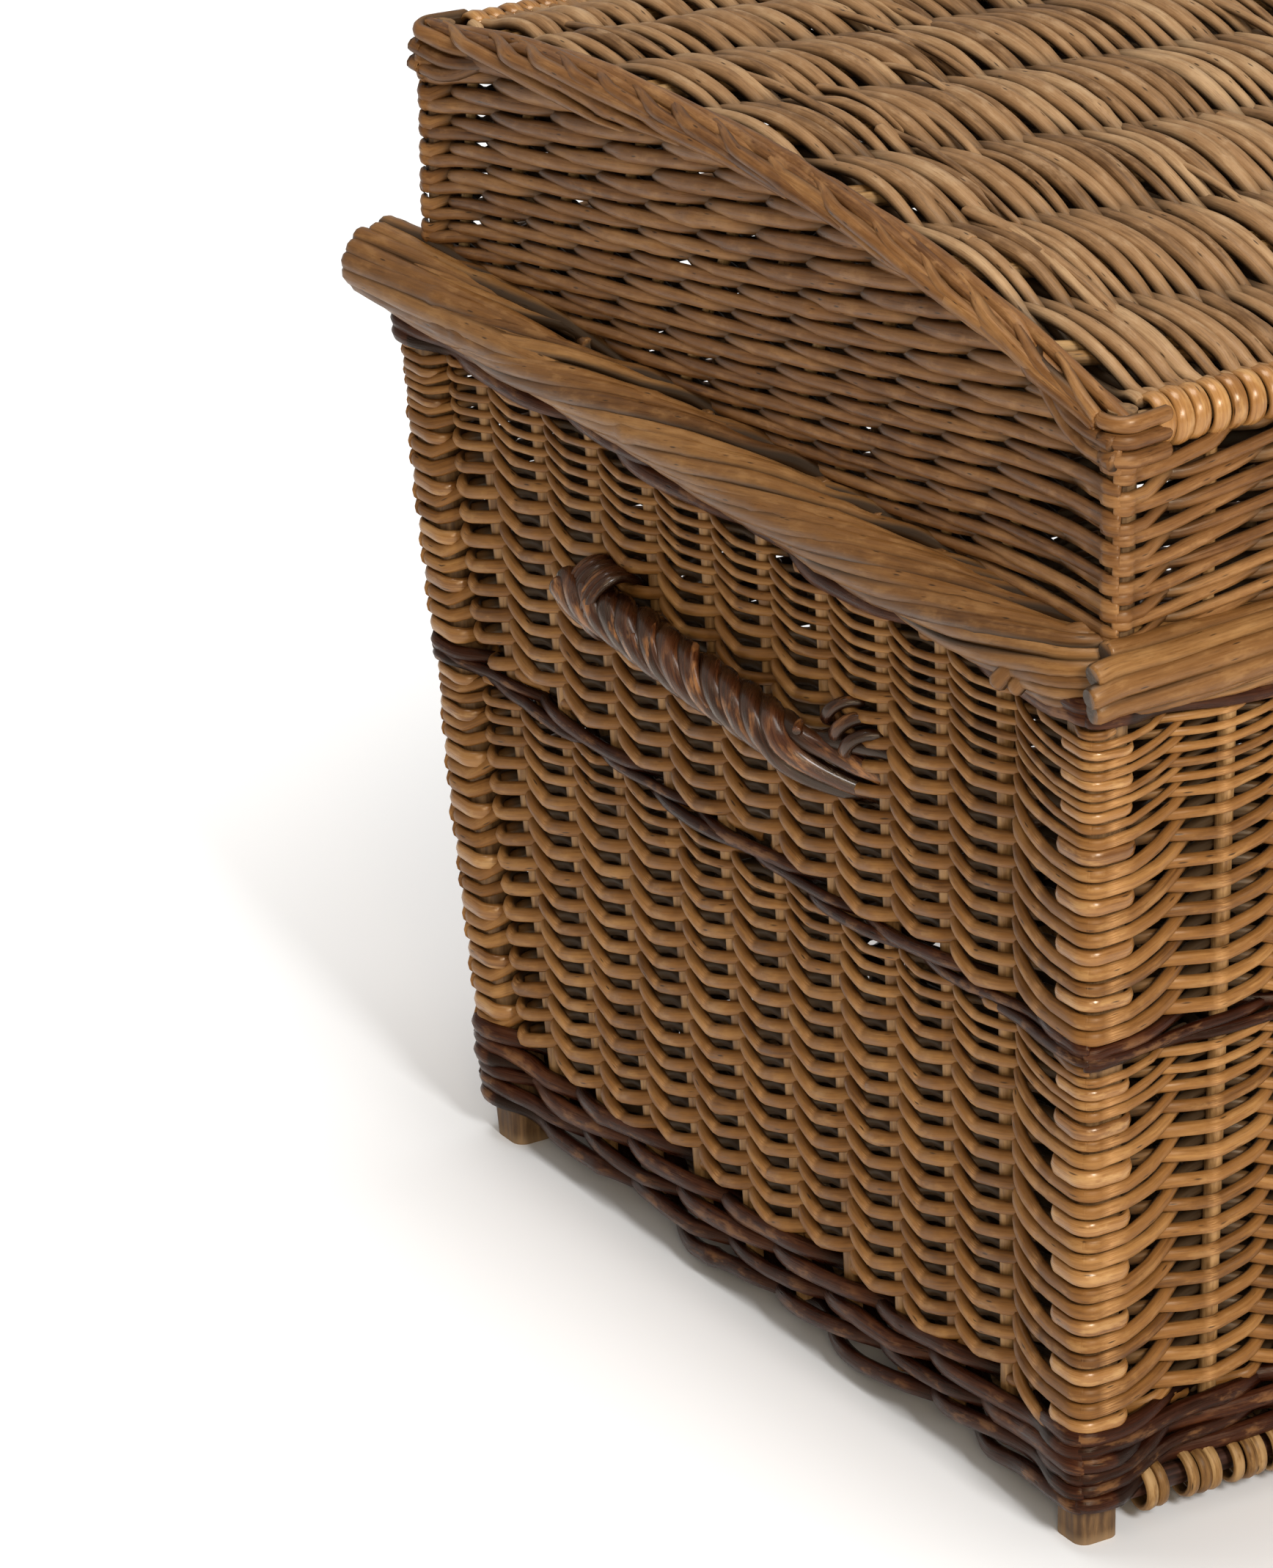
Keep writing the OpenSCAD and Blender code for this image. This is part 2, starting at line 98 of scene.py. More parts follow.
class Rods:
    """Willow rods gathered into one mesh. Each carries its grain, its own tone and how far it stands out,
    which sets its painted shade and its wear.
    """

    def __init__(self, name, seed):
        self.name = name
        self.rng = np.random.default_rng(seed)
        self.parts = []

    def add(self, path, radius, out, expose=0.7, flat=0.9, sides=8, closed=False, tone=None, wobble=0.35,
            knots=True, kink=0.0, key=None, key_end=False, blunt=0.8):
        """A rod along path. out is the direction that faces outward; expose, 0 to 1, how far it stands out:
        low values get painted shade, high ones wear.

        Rods with the same key share tone and grain, so two that meet end to end at a corner read as one.
        """
        path = np.array(path, float)
        values = (radius, flat, kink, tone, expose)
        if not closed:
            path, out, values = spaced(path, out, values)
        count = len(path)
        if count < 3:
            return
        rng = self.rng
        own = rng if key is None else np.random.default_rng(key)
        values = (own.uniform(0, 1) if v is None else v for v in values)
        radius, flat, kink, tone, expose = (np.broadcast_to(np.asarray(v, float), (count,)) for v in values)
        radius = radius.copy()
        out = np.broadcast_to(np.asarray(out, float), (count, 3))
        step = np.linalg.norm(np.diff(path, axis=0), axis=1)
        along = np.concatenate([[0], np.cumsum(step)])
        ends = np.ones(count) if closed else np.minimum(1, np.minimum(along, along[-1] - along) / STEADY_END)
        if wobble:
            path = path + wobble * ends[:, None] * smooth_noise(rng, along, 34, 3)
        radius *= 1 + 0.05 * ends * smooth_noise(rng, along, 22, 1)[:, 0] + own.normal(0, 0.05)
        if knots:
            for _ in range(rng.poisson(along[-1] / KNOT_EVERY)):
                at = rng.uniform(0, along[-1])
                radius *= 1 + rng.uniform(0.04, 0.16) * np.exp(-((along - at) / KNOT_HALF) ** 2)
        if closed:
            tangent = np.roll(path, -1, 0) - np.roll(path, 1, 0)
        else:
            tangent = np.gradient(path, axis=0)
        tangent /= np.maximum(np.linalg.norm(tangent, axis=1), 1e-9)[:, None]
        side = np.cross(tangent, out)
        side /= np.maximum(np.linalg.norm(side, axis=1), 1e-9)[:, None]
        up = np.cross(side, tangent)
        if not closed:
            tip = 0.35 * radius
            path = np.concatenate([[path[0] - tangent[0] * tip[0]], path, [path[-1] + tangent[-1] * tip[-1]]])
            radius = np.concatenate([[radius[0] * blunt], radius, [radius[-1] * blunt]])
            side, up, expose, flat, tone, kink = (np.concatenate([v[:1], v, v[-1:]])
                                                  for v in (side, up, expose, flat, tone, kink))
            along = np.concatenate([along[:1] - 0.5, along, along[-1:] + 0.5])
        rings = len(path)
        angle = 2 * math.pi * np.arange(sides) / sides
        cos, sin = np.cos(angle), np.sin(angle)
        across = radius[:, None] * cos * flat[:, None]
        around = radius[:, None] * sin
        co = path[:, None] + across[..., None] * up[:, None] + around[..., None] * side[:, None]
        grain = np.empty((rings, sides, 3))
        begin = along[-1] if key_end else 0.0
        grain[..., 0] = (along - begin + own.uniform(500, 4000))[:, None]
        grain[..., 1] = across + own.uniform(0, 900)
        grain[..., 2] = around + own.uniform(0, 900)
        look = np.empty((rings, sides, 3))
        look[..., 0] = tone[:, None]
        # Painted shade: expose falls off towards the side of the rod that faces away from out.
        look[..., 1] = expose[:, None] * (0.6 + 0.4 * cos)
        look[..., 2] = kink[:, None]
        self.parts.append((*(v.reshape(-1, 3) for v in (co, grain, look)), rings, sides, closed))

    def make(self):
        """One mesh object of every rod added."""
        quads, caps, base = [], [], 0
        for co, _, _, rings, sides, closed in self.parts:
            ring = np.arange(rings if closed else rings - 1)[:, None] * sides
            k = np.arange(sides)[None]
            a = ring + k
            b = ring + (k + 1) % sides
            nxt = (ring + sides) % (rings * sides)
            quads.append(base + np.stack([a, b, nxt + (k + 1) % sides, nxt + k], -1).reshape(-1, 4))
            if not closed:
                caps.append(base + np.arange(sides)[::-1])
                caps.append(base + (rings - 1) * sides + np.arange(sides))
            base += rings * sides
        quads = np.concatenate(quads)
        loops = np.concatenate([quads.ravel()] + caps).astype(np.int32)
        sizes = np.concatenate([np.full(len(quads), 4), [len(c) for c in caps]]).astype(np.int32)
        starts = np.concatenate([[0], np.cumsum(sizes)[:-1]]).astype(np.int32)
        mesh = bpy.data.meshes.new(self.name)
        co = np.concatenate([p[0] for p in self.parts]) * MM
        mesh.vertices.add(len(co))
        mesh.vertices.foreach_set("co", co.astype(np.float32).ravel())
        mesh.loops.add(len(loops))
        mesh.loops.foreach_set("vertex_index", loops)
        mesh.polygons.add(len(sizes))
        mesh.polygons.foreach_set("loop_start", starts)
        mesh.update(calc_edges=True)
        mesh.polygons.foreach_set("use_smooth", sizes == 4)
        for key, column in (("grain", 1), ("look", 2)):
            values = np.concatenate([p[column] for p in self.parts]).astype(np.float32)
            mesh.attributes.new(key, "FLOAT_VECTOR", "POINT").data.foreach_set("vector", values.ravel())
        piece = bpy.data.objects.new(self.name, mesh)
        bpy.context.scene.collection.objects.link(piece)
        return piece


def spaced(path, out, values):
    """Leaves out the points that lie too close to the one before, where a path has bunched ones."""
    step = np.linalg.norm(np.diff(path, axis=0), axis=1)
    if step.min() >= BUNCHED:
        return path, out, values
    far = np.concatenate([[True], step > SPACED])
    values = [v[far] if np.ndim(v) == 1 and len(v) == len(far) else v for v in values]
    return path[far], out[far] if np.ndim(out) == 2 else out, values


def smooth_noise(rng, along, scale, width):
    """Random values in about -1 to 1 that change smoothly over the given scale."""
    knots = np.arange(along[0] - scale, along[-1] + 2 * scale, scale)
    values = rng.uniform(-1, 1, (len(knots), width))
    return np.stack([np.interp(along, knots, v) for v in values.T], 1)


def smooth(t):
    """0 to 1 with a soft start and stop."""
    t = np.clip(t, 0, 1)
    return t * t * (3 - 2 * t)


def keyed(turn, keys, period):
    """A periodic line through (turn, value) keys, straight between them."""
    places = [k[0] for k in keys]
    return np.interp(np.mod(turn, period), places, [k[1] for k in keys])


def soften(values, width):
    """Rounds the corners of a line with a short moving average."""
    if width < 2 or len(values) < width:
        return values
    padded = np.pad(values, (width // 2, width - 1 - width // 2), mode="edge")
    return np.convolve(padded, np.ones(width) / width, mode="valid")


# ---- Walls ----

class Wall:
    """A straight wall. along runs to the right seen from outside, n outward."""

    def __init__(self, side, out, half, lean=0.0, narrow=0.0, top=RIM_Z):
        self.side, self.out, self.half, self.lean, self.narrow, self.top = side, out, half, lean, narrow, top
        turn = side * math.pi / 2
        self.cos, self.sin = round(math.cos(turn)), round(math.sin(turn))
        self.normal = np.array([self.sin, -self.cos, 0.0])
        self.right = np.array([self.cos, self.sin, 0.0])

    def point(self, along, z, n):
        """The point at a place along the top of the wall, carried down to height z."""
        along, z, n = np.broadcast_arrays(*(np.asarray(v, float) for v in (along, z, n)))
        depth = (self.top - z) / self.top
        x = along * (1 - self.narrow * depth / self.half)
        y = -(self.out - self.lean * depth + n)
        return np.stack([x * self.cos - y * self.sin, x * self.sin + y * self.cos, z], -1)


def body_wall(side):
    if side in (LEFT, RIGHT):
        return Wall(side, BODY_HALF_L, BODY_HALF_W, LEAN_X, LEAN_Y)
    return Wall(side, BODY_HALF_W, BODY_HALF_L, LEAN_Y, LEAN_X)


def lid_wall(side):
    if side in (LEFT, RIGHT):
        return Wall(side, LID_HALF_L, LID_HALF_W, top=1.0e6)
    return Wall(side, LID_HALF_W, LID_HALF_L, top=1.0e6)


class Ladder:
    """Heights of the rows of weave from the pitch of each row."""

    def __init__(self, low, high, pitches):
        pitches = np.array(pitches, float)
        self.pitches = pitches * (high - low) / pitches.sum()
        self.heights = low + np.concatenate([[0], np.cumsum(self.pitches)])
        self.rows = len(pitches)

    def z(self, row):
        rows = np.arange(self.rows + 1)
        inside = np.interp(row, rows, self.heights)
        under = np.minimum(row, 0) * self.pitches[0]
        over = np.maximum(row - self.rows, 0) * self.pitches[-1]
        return inside + under + over

    def pitch(self, row):
        return np.interp(row, np.arange(self.rows) + 0.5, self.pitches)


# How far out a weaver stands over its turn: behind a stake at 0, in front of the next at 1. On the ends it
# comes out early and dives late over its neighbour; on the front and the back it's the other way round. clear
# shifts the turn beside the first and the last post, so that a weaver doesn't sink into them.
PLAIN_END = {"period": 2, "kink": 0.65, "clear": (0.26, 0.0),
             "wave": [(0, -1), (0.05, -0.85), (0.27, 0.75), (0.4, 0.95), (0.65, 1), (1, 1), (1.1, 0.85),
                      (1.28, -0.1), (1.5, -0.8), (2, -1)]}
PLAIN_FRONT = {"period": 2, "kink": 1.0, "clear": (0.0, 0.2),
               "wave": [(0, -1), (0.25, -0.85), (0.5, 0), (0.75, 0.9), (1, 1), (1.35, 0.95), (1.5, 0.8),
                        (1.7, 0.1), (1.85, -0.75), (2, -1)]}
TWILL = {"period": 3, "kink": 0.5, "clear": (0.0, 0.0),
         "wave": [(0, -1), (0.25, -0.7), (0.6, 0.25), (1, 0.85), (1.5, 1), (2.1, 0.95), (2.4, 0.5),
                  (2.7, -0.45), (3, -1)]}
# How a weaver climbs and falls against its row, in rows
RISE_ACROSS = [(0, 0.55), (0.25, 0.45), (0.65, -0.75), (1.55, 0.72), (2, 0.55)]
RISE_AFTER = [(0, 0.53), (0.2, 0.8), (1, -0.8), (2, 0.53)]
TWILL_RISE = [(0, 0), (0.55, -0.85), (2.45, 0.85), (3, 0)]
PER_GAP = 12
CORNER_FLAT = 0.6
CORNER_REACH = 0.8
PAIR_SHIFT = 0.66


def weave(rods, wall, stakes, ladder, kind, rise, climb, parity, stake_r, post_r, corners, thick, cover,
          floor=None, corner_low=0.0, pairs=False, lean=None, anchor=0, breaks=0.0, over_arch=0.0):
    """Rows of weavers from post to post. Each starts at its own height on the left post, climbs by a whole
    number of rows to the right post, and turns the corner where it passes outside a post."""
    knots = np.array([-wall.half] + list(stakes) + [wall.half])
    last = len(knots) - 1
    phi = np.linspace(0, last, last * PER_GAP + 1)
    along = soften(np.interp(phi, np.arange(last + 1), knots), PER_GAP)
    along[0], along[-1] = knots[0], knots[-1]
    near_post = smooth(np.maximum(1 - phi / CORNER_REACH, 1 - (last - phi) / CORNER_REACH))
    flat = 0.88 * (1 - near_post) + CORNER_FLAT * near_post
    clear = kind["clear"][1] * np.sin(math.pi * np.clip(last - phi, 0, 1))
    clear -= kind["clear"][0] * np.sin(math.pi * np.clip(phi, 0, 1))
    period = kind["period"]
    for start in range(-climb - 2, ladder.rows + climb + 3):
        turn = phi + start + parity
        wave = soften(keyed(turn + clear, kind["wave"], period), 3 if period == 2 else 5)
        zig = soften(keyed(turn, rise, period), 2)
        row = start + climb * phi / last + zig * (1 - near_post) + corner_low * near_post
        radius = 0.5 * thick * ladder.pitch(row)
        if pairs:
            shifted = np.where(phi < last / 2, start // 2 % 2, (start + climb) // 2 % 2)
            row = row - PAIR_SHIFT * near_post * shifted
        z = ladder.z(row)
        reach = np.interp(phi, np.arange(last + 1), [post_r] + [stake_r] * (last - 1) + [post_r])
        reach = (reach + radius * flat) * (1 - 0.1 * (1 - near_post))
        n = wave * reach
        here = along if lean is None else lean(along, z)
        inside = (row > -0.45) & (row < ladder.rows - 0.1)
        if floor is not None:
            inside &= z > floor(here)
        top = cover(here)
        inside &= z < top
        kinks = np.exp(-((np.mod(turn - kind["kink"] + period / 2, period) - period / 2) / 0.05) ** 2)
        gain = 1 + 0.06 * near_post
        tones = [np.random.default_rng(abs(1000 * c + e) + 77).uniform() for c, e in
                 ((corners[0], start), (corners[1], start + climb))]
        tone = np.interp(phi, [0, last], tones)
        for first, stop in runs(inside):
            for begin, end in broken(rods.rng, first, stop, turn, period, breaks):
                if end - begin < 5:
                    continue
                cut = slice(begin, end)
                depth = n[cut].copy()
                for meets, order in ((begin == first and begin > 0, 1), (end == stop and end < len(phi), -1)):
                    if meets and not (over_arch and order < 0):
                        tuck = smooth(np.arange(5) / 5)
                        near_end = depth[::order][:5]
                        depth[::order][:5] = np.minimum(near_end, near_end * tuck - 3.5 * (1 - tuck))
                path = wall.point(here[cut], z[cut], depth)
                # Painted shade: a weaver's expose is low where it passes behind a stake, so it is painted
                # darker there.
                values = [0.45 + 0.5 * np.clip(wave[cut], -1, 1), radius[cut] * gain[cut], flat[cut],
                          kinks[cut], tone[cut]]
                for at, whole in ((0, begin == 0), (-1, end == len(phi))):
                    if whole and wave[at] > 0.5:
                        path, values = turn_corner(wall, path, values, at, z[at], post_r)
                expose, fat, squash, bend, shade = values
                if over_arch and end == stop and stop < len(phi) and z[stop - 1] > top[stop] - 3:
                    path, fat, expose, squash, bend, shade = follow_arch(
                        rods.rng, wall, path, fat, expose, squash, bend, shade, cover, over_arch)
                corner_key = 5140 + 100 * corners[anchor] + start + (climb if anchor else 0)
                rods.add(path, fat, outward(path, wall), expose, flat=squash, kink=bend, tone=shade,
                         key=corner_key, key_end=bool(anchor))


def turn_corner(wall, path, values, at, z, post_r):
    """A weaver's path and values with the turn round the corner added before index 0 or after index -1."""
    arc = corner_arc(wall, 1 if at else -1, z, post_r, values[1][at], CORNER_FLAT)
    extra = [np.full(len(arc) - 1, v) for v in (1.0, values[1][at], CORNER_FLAT, 0.0, values[4][at])]
    if at == 0:
        return np.concatenate([arc[:0:-1], path]), [np.concatenate([e, v]) for e, v in zip(extra, values)]
    return np.concatenate([path, arc[1:]]), [np.concatenate([v, e]) for e, v in zip(extra, values)]


def broken(rng, first, stop, turn, period, chance):
    """Splits a weaver here and there, in front of a stake, where an old rod ran out and a new one began."""
    pieces, begin = [], first
    spots = [k for k in range(first + 2 * PER_GAP, stop - 2 * PER_GAP)
             if abs(np.mod(turn[k], period) - 0.76) < 0.03]
    for k in spots:
        if k - begin > 2 * PER_GAP and rng.uniform() < chance:
            pieces.append((begin, k + int(PER_GAP * 0.6)))
            begin = k
    pieces.append((begin, stop))
    return pieces


def follow_arch(rng, wall, path, fat, expose, squash, bend, shade, cover, length):
    """Turns a weaver that has reached the lid's arched edge along it, over its neighbours, to a thin tip."""
    local = path[-1] @ wall.right
    count = int(length * rng.uniform(0.5, 1.2) / 5)
    places = local + 5.0 * np.arange(1, count + 1)
    places = places[places < wall.half - 4]
    if len(places) < 4:
        return path, fat, expose, squash, bend, shade
    t = np.arange(1, len(places) + 1) / len(places)
    start_n = (path[-1] - wall.point(local, path[-1, 2], 0)) @ wall.normal
    z = cover(places) - 1 + rng.uniform(-2, 4) * smooth(t * 3)
    z = z + (path[-1, 2] - z[0]) * (1 - smooth(t * 4))
    n = start_n + (rng.uniform(6.5, 10.5) - start_n) * smooth(t * 3)
    more = wall.point(places, z, n)
    grow = lambda v, to: np.concatenate([v, v[-1] + (to - v[-1]) * t])
    return (np.concatenate([path, more]), grow(fat, fat[-1] * 0.55), grow(expose, 0.9), grow(squash, 0.9),
            grow(bend, 0.0), grow(shade, shade[-1]))


def runs(mask):
    """Start and stop of each run of true values."""
    edges = np.flatnonzero(np.diff(np.concatenate([[0], mask.astype(int), [0]])))
    return list(zip(edges[::2], edges[1::2]))


def outward(path, wall):
    """Outward directions along a path: the wall's own, turned towards the corner where the path leaves it."""
    normal = np.tile(wall.normal, (len(path), 1))
    local = path @ wall.right
    depth = (wall.top - path[:, 2]) / wall.top
    half = wall.half - wall.narrow * depth
    past = np.clip((np.abs(local) - half) / 10, 0, 1) * np.sign(local)
    return normal + past[:, None] * wall.right


def round_out(wall, turn):
    """Outward directions round a line along a wall: turn is 0 away from the wall and grows upwards."""
    return np.cos(turn)[:, None] * wall.normal + np.sin(turn)[:, None] * np.array([0, 0, 1.0])


def round_bar(x, y, z, s, reach, angle):
    """A turn round a bar that runs along the length: path and outward directions. s is -1 at the front."""
    path = np.stack([x, s * (y + reach * np.cos(angle)), z + reach * np.sin(angle)], 1)
    return path, np.stack([np.zeros(len(angle)), s * np.cos(angle), np.sin(angle)], 1)


def corner_arc(wall, sign, z, post_r, radius, flat):
    """The stretch round the outside of a post, from its middle on this wall to the diagonal of the corner."""
    centre = wall.point(sign * wall.half, z, 0)
    edge = min(POST_EDGE, post_r)
    square = post_r - edge
    points = [centre + wall.normal * (post_r + radius * flat)]
    for angle in np.linspace(0, math.radians(48), 5):
        a = square + (edge + radius * flat) * math.sin(angle)
        b = square + (edge + radius * flat) * math.cos(angle)
        points.append(centre + sign * wall.right * a + wall.normal * b)
    return np.array(points)


# ---- Materials ----

class Shader:
    """A short way to write a node material."""

    def __init__(self, name):
        self.material = bpy.data.materials.new(name)
        self.material.use_nodes = True
        self.tree = self.material.node_tree
        self.bsdf = self.tree.nodes["Principled BSDF"]

    def node(self, kind, inputs=None, **settings):
        made = self.tree.nodes.new(kind)
        for key, value in settings.items():
            setattr(made, key, value)
        for key, value in (inputs or {}).items():
            self.put(made.inputs[key], value)
        return made

    def put(self, socket, value):
        if isinstance(value, bpy.types.NodeSocket):
            self.tree.links.new(value, socket)
        else:
            socket.default_value = value

    def maths(self, operation, a, b=0.0):
        return self.node("ShaderNodeMath", {0: a, 1: b}, operation=operation).outputs[0]

    def ramp(self, value, low, high, to_low=0.0, to_high=1.0):
        inputs = {"Value": value, "From Min": low, "From Max": high, "To Min": to_low, "To Max": to_high}
        return self.node("ShaderNodeMapRange", inputs, interpolation_type="SMOOTHSTEP").outputs["Result"]

    def mix(self, factor, a, b):
        made = self.node("ShaderNodeMix", data_type="RGBA")
        self.put(made.inputs[0], factor)
        self.put(made.inputs[6], a)
        self.put(made.inputs[7], b)
        return made.outputs[2]

    def noise(self, vector, scale, detail, rough):
        inputs = {"Vector": vector, "Scale": scale, "Detail": detail, "Roughness": rough}
        return self.node("ShaderNodeTexNoise", inputs).outputs["Fac"]

    def scaled(self, vector, factors):
        return self.node("ShaderNodeVectorMath", {0: vector, 1: factors}, operation="MULTIPLY").outputs[0]


def colour(r, g, b):
    return (r, g, b, 1.0)


TONE_SPREAD = 0.45
WARM = (1.0, 0.8, 0.58)


def willow(name, dark, mid, light, recess_shade, rough, coat=0.0, wear=None, wear_amount=0.0, contrast=1.0, bump=0.2,
           shine=0.35, groove=(0.1, 0.65)):
    """Bark and peeled willow: grain along each rod, its own tone, mottling, small knots, and painted shade in
    grooves and on each rod's inward side.
    """
    s = Shader(name)
    grain = s.node("ShaderNodeAttribute", attribute_name="grain").outputs["Vector"]
    marks = s.node("ShaderNodeAttribute", attribute_name="look").outputs["Vector"]
    look = s.node("ShaderNodeSeparateXYZ", {0: marks})
    tone, expose, kink = look.outputs[0], look.outputs[1], look.outputs[2]
    place = s.node("ShaderNodeNewGeometry").outputs["Position"]
    streak = s.noise(s.scaled(grain, (0.03, 0.8, 0.8)), 1.0, 5.0, 0.62)
    fine = s.noise(s.scaled(grain, (0.1, 2.6, 2.6)), 1.0, 4.0, 0.6)
    blotch = s.noise(s.scaled(grain, (0.06, 0.16, 0.16)), 1.0, 4.0, 0.65)
    patch = s.noise(place, 8.0, 3.0, 0.5)
    value = s.maths("ADD", s.maths("MULTIPLY", s.maths("SUBTRACT", tone, 0.5), TONE_SPREAD), 0.5)
    value = s.maths("ADD", value, s.maths("MULTIPLY", s.maths("SUBTRACT", streak, 0.5), 1.3 * contrast))
    value = s.maths("ADD", value, s.maths("MULTIPLY", s.maths("SUBTRACT", blotch, 0.5), 1.0 * contrast))
    value = s.maths("ADD", value, s.maths("MULTIPLY", s.maths("SUBTRACT", patch, 0.5), 0.4))
    base = s.mix(s.ramp(value, 0.05, 0.55), colour(*dark), colour(*mid))
    base = s.mix(s.ramp(value, 0.45, 1.0), base, colour(*light))
    base = s.mix(s.ramp(fine, 0.5, 0.75, 0.0, 0.4), base, colour(*(0.5 * c for c in dark)))
    if wear_amount:
        worn = s.maths("MULTIPLY", s.ramp(expose, 0.72, 1.0), s.ramp(blotch, 0.5, 0.66, 0.0, wear_amount))
        base = s.mix(worn, base, colour(*wear))
    cracks = s.maths("MULTIPLY", kink, s.ramp(fine, 0.42, 0.6, 0.15, 0.75))
    base = s.mix(cracks, base, colour(*(min(1.0, 1.35 * c + 0.03) for c in light)))
    dots = s.node("ShaderNodeTexVoronoi", {"Vector": s.scaled(grain, (0.05, 0.3, 0.3)), "Scale": 1.0})
    knot = s.ramp(dots.outputs["Distance"], 0.05, 0.14, 1.0, 0.0)
    base = s.mix(s.maths("MULTIPLY", knot, 0.85), base, colour(*(0.22 * c for c in dark)))
    # Painted shade: low expose, in recesses and on a rod's inward side, turns the colour towards the shade
    # colour; groove sets the range.
    base = s.mix(s.ramp(expose, *groove, 0.92, 0.0), base, colour(*recess_shade))
    s.put(s.bsdf.inputs["Base Color"], base)
    s.put(s.bsdf.inputs["Roughness"], s.ramp(streak, 0.3, 0.7, rough - 0.12, rough + 0.14))
    s.bsdf.inputs["Specular IOR Level"].default_value = shine
    s.bsdf.inputs["Specular Tint"].default_value = colour(*WARM)
    s.bsdf.inputs["Coat Tint"].default_value = colour(*WARM)
    s.bsdf.inputs["Coat Weight"].default_value = coat
    s.bsdf.inputs["Coat Roughness"].default_value = 0.22
    height = s.maths("ADD", s.maths("MULTIPLY", fine, 0.5), s.maths("MULTIPLY", streak, 0.9))
    height = s.maths("SUBTRACT", height, s.maths("MULTIPLY", knot, 0.6))
    height = s.maths("SUBTRACT", height, s.maths("MULTIPLY", kink, s.maths("MULTIPLY", fine, 1.5)))
    made = s.node("ShaderNodeBump", {"Height": height, "Strength": bump, "Distance": 0.0007})
    s.put(s.bsdf.inputs["Normal"], made.outputs[0])
    return s.material


def plain_wood(name, dark, light, axis, rough, worn=None):
    """Wood of the carried-over posts, stakes and sticks: grain drawn out along one axis."""
    s = Shader(name)
    place = s.node("ShaderNodeTexCoord").outputs["Object"]
    factors = [420.0, 420.0, 420.0]
    factors[axis] = 22.0
    grain = s.noise(s.scaled(place, tuple(factors)), 1.0, 5.0, 0.6)
    blotch = s.noise(place, 34.0, 4.0, 0.6)
    value = s.maths("ADD", s.maths("MULTIPLY", grain, 0.65), s.maths("MULTIPLY", blotch, 0.5))
    base = s.mix(s.ramp(value, 0.4, 0.75), colour(*dark), colour(*light))
    if worn is not None:
        height = s.node("ShaderNodeSeparateXYZ", {0: place}).outputs[2]
        base = s.mix(s.ramp(height, 0.0, 0.006, 0.6, 0.0), base, colour(*worn))
    s.put(s.bsdf.inputs["Base Color"], base)
    s.put(s.bsdf.inputs["Roughness"], s.ramp(grain, 0.3, 0.7, rough - 0.1, rough + 0.1))
    s.bsdf.inputs["Specular IOR Level"].default_value = 0.3
    made = s.node("ShaderNodeBump", {"Height": grain, "Strength": 0.4, "Distance": 0.0005})
    s.put(s.bsdf.inputs["Normal"], made.outputs[0])
    return s.material


# Painted shade colours: willow() mixes its shade colour in where expose is low, in recesses, in gaps and on
# each rod's inward side. DARK and WALE give their own as the fourth colour.
RECESS_SHADE = (0.04, 0.025, 0.013)
GAP = (0.018, 0.01, 0.005)
BODY = willow("willow_body", (0.085, 0.031, 0.007), (0.22, 0.091, 0.021), (0.37, 0.18, 0.053), RECESS_SHADE,
              0.42, 0.0, (0.45, 0.25, 0.09), 0.4, contrast=0.6)
GLOSSY = willow("willow_glossy", (0.13, 0.05, 0.012), (0.29, 0.135, 0.038), (0.45, 0.245, 0.085), GAP,
                0.3, 0.25, (0.52, 0.32, 0.13), 0.5, contrast=0.7, bump=0.15, shine=0.6, groove=(0.25, 0.85))
# groove here paints deep shade along the edges of each strand, where neighbours overlap.
BORDER = willow("willow_border", (0.062, 0.022, 0.005), (0.17, 0.071, 0.018), (0.3, 0.148, 0.047), GAP,
                0.38, 0.0, (0.34, 0.18, 0.066), 0.3, contrast=0.5, bump=0.25, shine=0.45, groove=(0.62, 0.92))
LID_WALL = willow("willow_lid_wall", (0.07, 0.024, 0.006), (0.18, 0.075, 0.021), (0.31, 0.15, 0.05), GAP,
                  0.38, 0.0, (0.38, 0.2, 0.08), 0.4, contrast=0.7, groove=(0.25, 0.85))
LID_TOP = willow("willow_lid_top", (0.09, 0.04, 0.013), (0.26, 0.138, 0.058), (0.42, 0.265, 0.135), GAP,
                 0.48, 0.0, (0.42, 0.28, 0.16), 0.4, contrast=0.6, bump=0.25, groove=(0.3, 0.8))
DARK = willow("dark_willow", (0.016, 0.004, 0.001), (0.04, 0.011, 0.004), (0.1, 0.034, 0.012),
              (0.01, 0.003, 0.001), 0.28, 0.5, (0.38, 0.18, 0.065), 0.8, contrast=1.2, bump=0.6, shine=0.4,
              groove=(0.48, 0.85))
WALE = willow("dark_wale", (0.014, 0.003, 0.001), (0.034, 0.008, 0.003), (0.08, 0.024, 0.008),
              (0.008, 0.002, 0.001), 0.32, 0.0, (0.3, 0.14, 0.05), 0.45, contrast=1.1, bump=0.4, shine=0.2,
              groove=(0.25, 0.75))
STAKE_WILLOW = willow("stake_pale", (0.17, 0.08, 0.024), (0.4, 0.24, 0.1), (0.55, 0.36, 0.17), GAP, 0.42,
                      contrast=0.7)
BASE = willow("base_willow", (0.085, 0.036, 0.01), (0.22, 0.11, 0.034), (0.38, 0.225, 0.09), RECESS_SHADE,
              0.45, 0.0, (0.42, 0.26, 0.115), 0.6, contrast=1.2, bump=0.3, shine=0.3)
STAKES = plain_wood("stake_willow", (0.16, 0.075, 0.022), (0.44, 0.25, 0.1), 2, 0.42)
STICKS = plain_wood("stick_willow", (0.12, 0.065, 0.025), (0.34, 0.2, 0.09), 0, 0.55)
POSTS = plain_wood("post_wood", (0.065, 0.031, 0.011), (0.22, 0.12, 0.047), 2, 0.6, (0.3, 0.19, 0.095))
